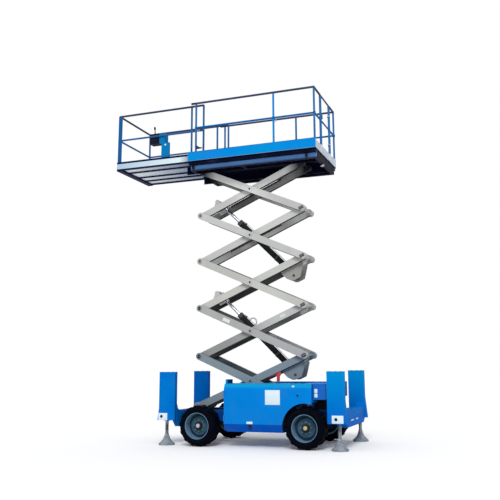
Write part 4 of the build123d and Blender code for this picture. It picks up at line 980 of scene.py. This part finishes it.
RAIL_WORN = (0.3, 0.3, 0.3)
rail_paint = finish("rail_paint", paint(rail_tone, RAIL_WORN, 0.35))
dress(rail_paint, "main_guard_rails", "entry_gate")
floor_z = deck_high.z
feet, rings, collars, rows = [], [], [], []
for side in BOTH:
    y = side * POST_Y
    foot_y = (y - side * 0.034, y + side * 0.018)
    for x in POSTS_X:
        foot_end, bolt_end = (0.018, -0.01) if x == REAR_POST else (0.034, 0.01)
        feet.append(bar((x - 0.034, x + foot_end), foot_y, (floor_z, floor_z + 0.008)))
        feet.append(collar((x, y, floor_z + 0.006), UP, 0.014, TUBE, 0.024, 0.0205, 20))
        rows.append(bolts(2, (x - 0.026, x + bolt_end), y - side * 0.026, floor_z + 0.011, "z", 0.006, 0.008))
        collars.append(collar((x, y, MID_Z - 0.02), UP, 0.04, TUBE, 0.023, count=20))
    for x in (MIDDLE_POST, FRONT_POST):
        rings.append(torus((x + 0.036, y - side * 0.018, MID_Z - 0.055), (0.4, side, 0), 0.02, 0.004))
piece("post_feet", "platform", rail_paint, *feet, bevel=0.001)
piece("post_collars", "platform", rail_paint, *collars)
piece("harness_rings", "platform", zinc, *rings)
grown("post_foot_bolts", "platform", zinc, bolt_row, *rows)
sleeve = ((0.0, TUBE), (0.11, 0.0195), (0.118, 0.016))
sleeves = [turned(sleeve, (FRONT_POST + 0.02, side * POST_Y, TOP_Z), (-1, 0, 0), 20) for side in BOTH]
piece("rail_end_sleeves", "platform", seal_black, *sleeves)
wedge = [(MID + x, z) for x, z in ((-1.064, 5.15), (-0.948, 5.158), (-0.95, 5.168), (-1.02, 5.19),
                                   (-1.05, 5.216), (-1.064, 5.21))]
pivot = turned(((0.0, 0.014), (0.028, 0.014)), (MID - 1.046, -0.66, 5.172), (0, -1, 0), 16)
piece("lock_lever", "platform", seal_black, plate(wedge, (-0.692, -0.676)), pivot, bevel=0.002)

# Entry gate: a spring latch on its free side, and a plated collar at each hinge
gate_low, gate_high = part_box("entry_gate")
latch_y, latch_z = (gate_low.y + 0.022, gate_low.y + 0.072), (MID_Z + 0.04, MID_Z + 0.11)
latch = bar((REAR_POST - 0.014, REAR_POST + 0.014), latch_y, latch_z)
piece("gate_latch", "entry_gate", seal_black, latch, bevel=0.003)
hinges = [collar((REAR_POST, gate_high.y - 0.015, TOP_Z - down), UP, 0.016, 0.0152, 0.021, count=18)
          for down in (0.216, 0.766)]
piece("gate_hinge_collars", "entry_gate", zinc, *hinges)


# Slide-out deck. A folded sheet floor on runners, pale sides with a dark top edge, and its own
# rails. The near front corner post is broad and bright.

slide_low, slide_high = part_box("extension_deck")
RUNNER_TOP = deck_high.z + 0.0243
SLIDE_FLOOR, SLIDE_Y, SLIDE_FACE = RUNNER_TOP + 0.01, 0.588, 0.612


def slide_tone(place):
    """Pale boards with a dark top edge, a floor painted near-white at the front as painted light and darkening
    to the rear as painted shade, and a dark nose.
    """
    x, y, z = axes(place)
    inside = (abs(y) < 0.6062) * (x > slide_low.x + 0.0058)
    fade = spread(x, slide_low.x + 0.1, deck_low.x - 0.1)
    # Painted light and shade on the floor: near-white at the front, darker to the rear
    floor_light_and_shade = mix(fade, (0.9, 0.95, 1.0), (0.24, 0.31, 0.45))
    rear_end = spread(x, deck_low.x - 0.22, deck_low.x - 0.02)
    sides = mix(rear_end, mix(fade, (0.41, 0.55, 0.67), (0.7, 0.83, 0.85)), (0.3, 0.32, 0.37))
    boards = mix(z > slide_high.z - 0.038, sides, (0.004, 0.01, 0.06))
    front_edge = (x < slide_low.x + 0.002) * (z < RUNNER_TOP + 0.025)
    nose = (z < RUNNER_TOP - 0.0008) | front_edge
    return mix(nose, mix(inside, boards, floor_light_and_shade), (0.003, 0.007, 0.045))


def slide_rail_tone(place):
    """Blue tube, darkened along the top rail as painted shade, with a deeper corner post at the near front."""
    x, y, z = axes(place)
    corner = (x < slide_low.x + 0.095) * (y < -0.56) * (z < TOP_Z - 0.045)
    tube = two_tones((0.03, 0.14, 0.34), (0.02, 0.105, 0.28))(place)
    return mix(corner, mix(z > TOP_Z - 0.042, tube, (0.045, 0.06, 0.125)), (0.01, 0.095, 0.29))


slide_paint = finish("slide_paint", paint(slide_tone, (0.25, 0.25, 0.26), 0.42, wear=0.2))
slide_rail_paint = finish("slide_rail_paint", paint(slide_rail_tone, RAIL_WORN, 0.35))
dress(slide_paint, "extension_deck")
dress(slide_rail_paint, "extension_guard_rails")
field = stud_field((slide_low.x + 0.06, slide_high.x - 0.04), (-0.54, 0.54), SLIDE_FLOOR)
grown("slide_deck_lozenges", "extension", slide_paint, lozenges, field)
feet, rows = [], []
for side in BOTH:
    feet += [collar((x, side * SLIDE_Y, SLIDE_FLOOR), UP, 0.016, TUBE, 0.025, 0.021, 20)
             for x in (slide_low.x + 0.025, deck_low.x + 0.02, slide_high.x - 0.06)]
    rows.append(bolts(6, (slide_low.x + 0.1, slide_high.x - 0.1), side * SLIDE_FACE, SLIDE_FLOOR + 0.045,
                      head=0.006, depth=0.006))
piece("slide_post_collars", "extension", slide_rail_paint, *feet)
grown("slide_side_rivets", "extension", slide_paint, bolt_row, *rows)


# Platform controls. A black moulded box hung on the near middle rail, with a joystick in a
# rubber boot, a row of switches, a red stop button, and a blue sheet-steel panel below.

box_low, box_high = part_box("platform_controls")
case_x, case_z = box_low.x, box_high.z - 0.19
near_y, far_y, lid_top = box_low.y, box_high.y, box_high.z + 0.006


def moulded(place):
    colour = two_tones((0.016, 0.017, 0.02), (0.035, 0.036, 0.04), 10.0, 5.0, 0.4, 0.7)(place)
    return coat(place, colour, spread(noise(place, 320.0, 2.0), 0.3, 0.7, 0.45, 0.62), (320.0, 2.0), 0.00025)


def controls_tone(place):
    x, _, z = axes(place)
    panel = (z < case_z - 0.001) | (x > case_x + 0.2)
    return mix(panel, (0.01, 0.011, 0.022), (0.002, 0.18, 0.44))


case_plastic = finish("case_plastic", moulded)
controls_paint = finish("controls_paint", paint(controls_tone, (0.1, 0.12, 0.15), 0.42))
marker = painted("marker_red", "dark_steel", (0.55, 0.03, 0.04), (0.4, 0.02, 0.03), (0.3, 0.1, 0.1), gloss=0.3)
dress(controls_paint, "platform_controls")
lid = bar((case_x + 0.006, case_x + 0.304), (near_y + 0.006, far_y - 0.006), (box_high.z, lid_top))
switch = ((0.0, 0.008), (0.006, 0.008), (0.006, 0.004), (0.026, 0.0035), (0.03, 0.002))
switches = [turned(switch, (case_x + along, near_y + 0.05, lid_top), (0.2, 0, 1), 12)
            for along in (0.14, 0.175, 0.21, 0.245)]
stick = ((0.0, 0.034), (0.006, 0.032), (0.012, 0.026), (0.018, 0.026), (0.024, 0.018), (0.034, 0.01),
         (0.105, 0.008), (0.11, 0.016), (0.15, 0.018), (0.164, 0.012))
joystick = turned(stick, (case_x + 0.07, (near_y + far_y) / 2, lid_top), (-0.08, 0, 1), 20)
piece("controls_lid_and_stick", "extension", case_plastic, lid, *switches, joystick)
button = ((0.0, 0.012), (0.012, 0.012), (0.014, 0.022), (0.024, 0.021), (0.028, 0.012))
piece("stop_button", "extension", marker, turned(button, (case_x + 0.262, far_y - 0.045, lid_top), UP))
glass = ((0.0, 0.018), (0.003, 0.018), (0.004, 0.014))
lens = turned(glass, (MID - 1.76, near_y, box_low.z + 0.24), (0, -1, 0), 20)
piece("panel_lamp", "extension", blank_white, lens)
